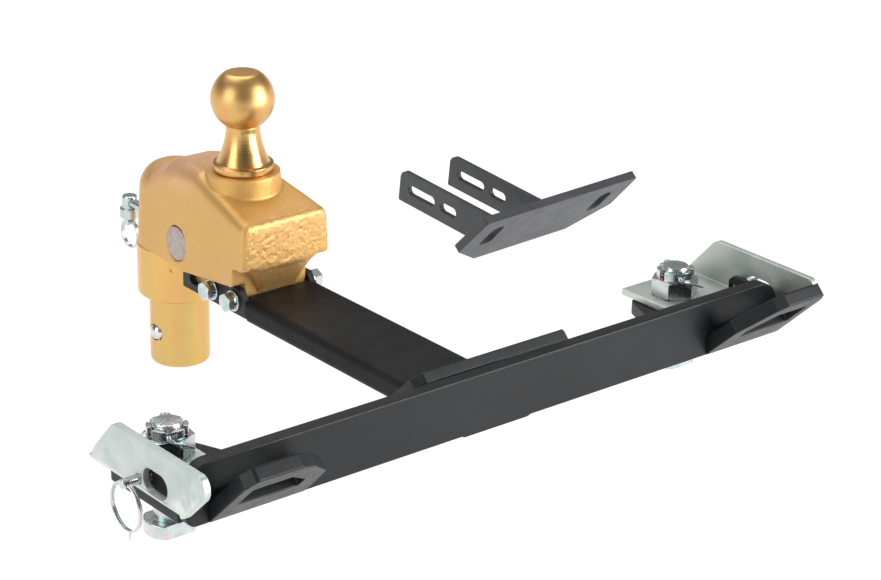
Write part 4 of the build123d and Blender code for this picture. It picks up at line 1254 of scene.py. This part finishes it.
def chamfer_hex(form, centre_x):
    """Brings in the hexagon's corners at both ends, as turning a real nut does."""
    for vert in form.verts:
        beyond = off_anchor(vert, centre_x) - NUT_HALF_FLATS_MM
        if beyond <= 0:
            continue
        if vert.co.z > (NUT_HEX_TOP_MM - NUT_CHAMFER_MM) * MM:
            vert.co.z -= beyond * CHAMFER * MM
        elif vert.co.z < (NUT_LOW_MM + NUT_CHAMFER_MM) * MM:
            vert.co.z += beyond * CHAMFER * MM


for side, hand in SIDES:
    nut = copied(f"castle_nut_{hand}")
    centre_x = side * ANCHOR_X_MM
    rim_edges = [edge for edge in nut.edges if on_rim(edge, centre_x)]
    bmesh.ops.subdivide_edges(nut, edges=rim_edges, cuts=9)
    chamfer_hex(nut, centre_x)
    add_piece(f"castle_nut_{hand}", soften(nut, 0.5, 2), "rounded")

# %% Cotter pins
COTTER_Z_MM = 80.5
COTTER_WIRE_MM = 0.95
COTTER_HEADING = radians(240)
CURVE_STEPS = 6
cotter_along = facing(COTTER_HEADING)
cotter_aside = facing(COTTER_HEADING + pi / 2)
# The folded wire, leg, eye and leg: along the pin, to its side, and up
COTTER_POINTS_MM = (
    (19.5, 10, -9.5), (21.5, 6, -4.5), (20.5, 2, -1.0), (17, 0.9, 0.2), (10, 0.8, 0), (0, 0.8, 0),
    (-10, 0.8, 0), (-18, 0.9, 0), (-20.5, 2.6, 0), (-24, 3.9, 0), (-27.2, 2.4, 0), (-28, 0, 0),
    (-27.2, -2.4, 0), (-24, -3.9, 0), (-20.5, -2.6, 0), (-18, -0.9, 0), (-10, -0.8, 0), (0, -0.8, 0),
    (10, -0.8, 0), (17, -0.9, 0), (20.5, -0.2, -1.5), (22, 5, -3.5), (23.5, 13, -4.5), (25, 20, -6.5),
)


def smooth_line(points):
    """A line that flows through each of a few points, as a bent wire does."""
    line = []
    for index in range(len(points) - 1):
        p0 = points[max(0, index - 1)]
        p1, p2 = points[index], points[index + 1]
        p3 = points[min(len(points) - 1, index + 2)]
        for step in range(CURVE_STEPS):
            t = step / CURVE_STEPS
            line.append(0.5 * ((2 * p1) + (p2 - p0) * t + (2 * p0 - 5 * p1 + 4 * p2 - p3) * t * t
                               + (3 * p1 - p0 - 3 * p2 + p3) * t ** 3))
    return line + [points[-1]]


for side, hand in SIDES:
    origin = Vector((side * ANCHOR_X_MM, ANCHOR_Y_MM, COTTER_Z_MM))
    fold = [origin + cotter_along * a + cotter_aside * b + Vector((0, 0, c)) for a, b, c in COTTER_POINTS_MM]
    add_piece(f"cotter_pin_{hand}", wire(smooth_line(fold), COTTER_WIRE_MM), "folded")

# %% [markdown]
# A lever is plate bent to an angle, so its outer corner is a wide round and its inner one
# a small round. The lock pin goes through it, with a double turned split ring to pull.

# %% Levers
LEVER_OUTSIDE_MM = 326.0
LEVER_BEND_Z_MM = 53.1
OUTER_BEND_MM = 5.5


def outer_bend(bend_x):
    """Picks the edge where the lever's two legs meet on the outside."""
    def picks(edge):
        return all(abs(vert.co.x / MM - bend_x) < 0.2 and abs(vert.co.z / MM - LEVER_BEND_Z_MM) < 0.2
                   for vert in edge.verts)
    return picks


for side, hand in SIDES:
    bend = outer_bend(side * (LEVER_OUTSIDE_MM + OUT_SHIFT_MM[hand]))
    add_softened(f"lever_{hand}", 0.7, picks=bend, picked_width=OUTER_BEND_MM)

# %% Lock pins and split rings
PIN_Y_MM = -431.5
PIN_Z_MM = 64.0
RING_X_MM = 337.0
RING_RADIUS_MM = 20.0
RING_WIRE_MM = 0.98
RING_TURNS = 2.0
RING_STEPS = 112
# How far the tail's points go on along the wire and out from the ring
TAIL_MM = ((1.6, 0.6), (1.4, 2.6), (0.6, 3.2))


def split_ring_points(centre_x, side):
    """Two turns of wire side by side, with a short tail that stands out at the end."""
    middle = Vector((centre_x, PIN_Y_MM, PIN_Z_MM - RING_RADIUS_MM))
    points = []
    for step in range(RING_STEPS + 1):
        part = step / RING_STEPS
        crossing = min(1.0, max(0.0, (part - 0.44) / 0.12))
        angle = 2 * pi * RING_TURNS * part - pi / 2 - 0.35
        points.append(middle + Vector((side * (crossing * 2 - 1), RING_RADIUS_MM * cos(angle),
                                       RING_RADIUS_MM * sin(angle))))
    out = (points[-1] - middle).normalized()
    onward = (points[-1] - points[-2]).normalized()
    for further, outward in TAIL_MM:
        points.append(points[-1] + onward * further + out * outward)
    return points


for side, hand in SIDES:
    add_softened(f"lock_pin_{hand}", 0.3, steps=2)
    ring_x = side * (RING_X_MM + OUT_SHIFT_MM[hand])
    add_piece(f"lock_ring_{hand}", wire(split_ring_points(ring_x, side), RING_WIRE_MM), "split")
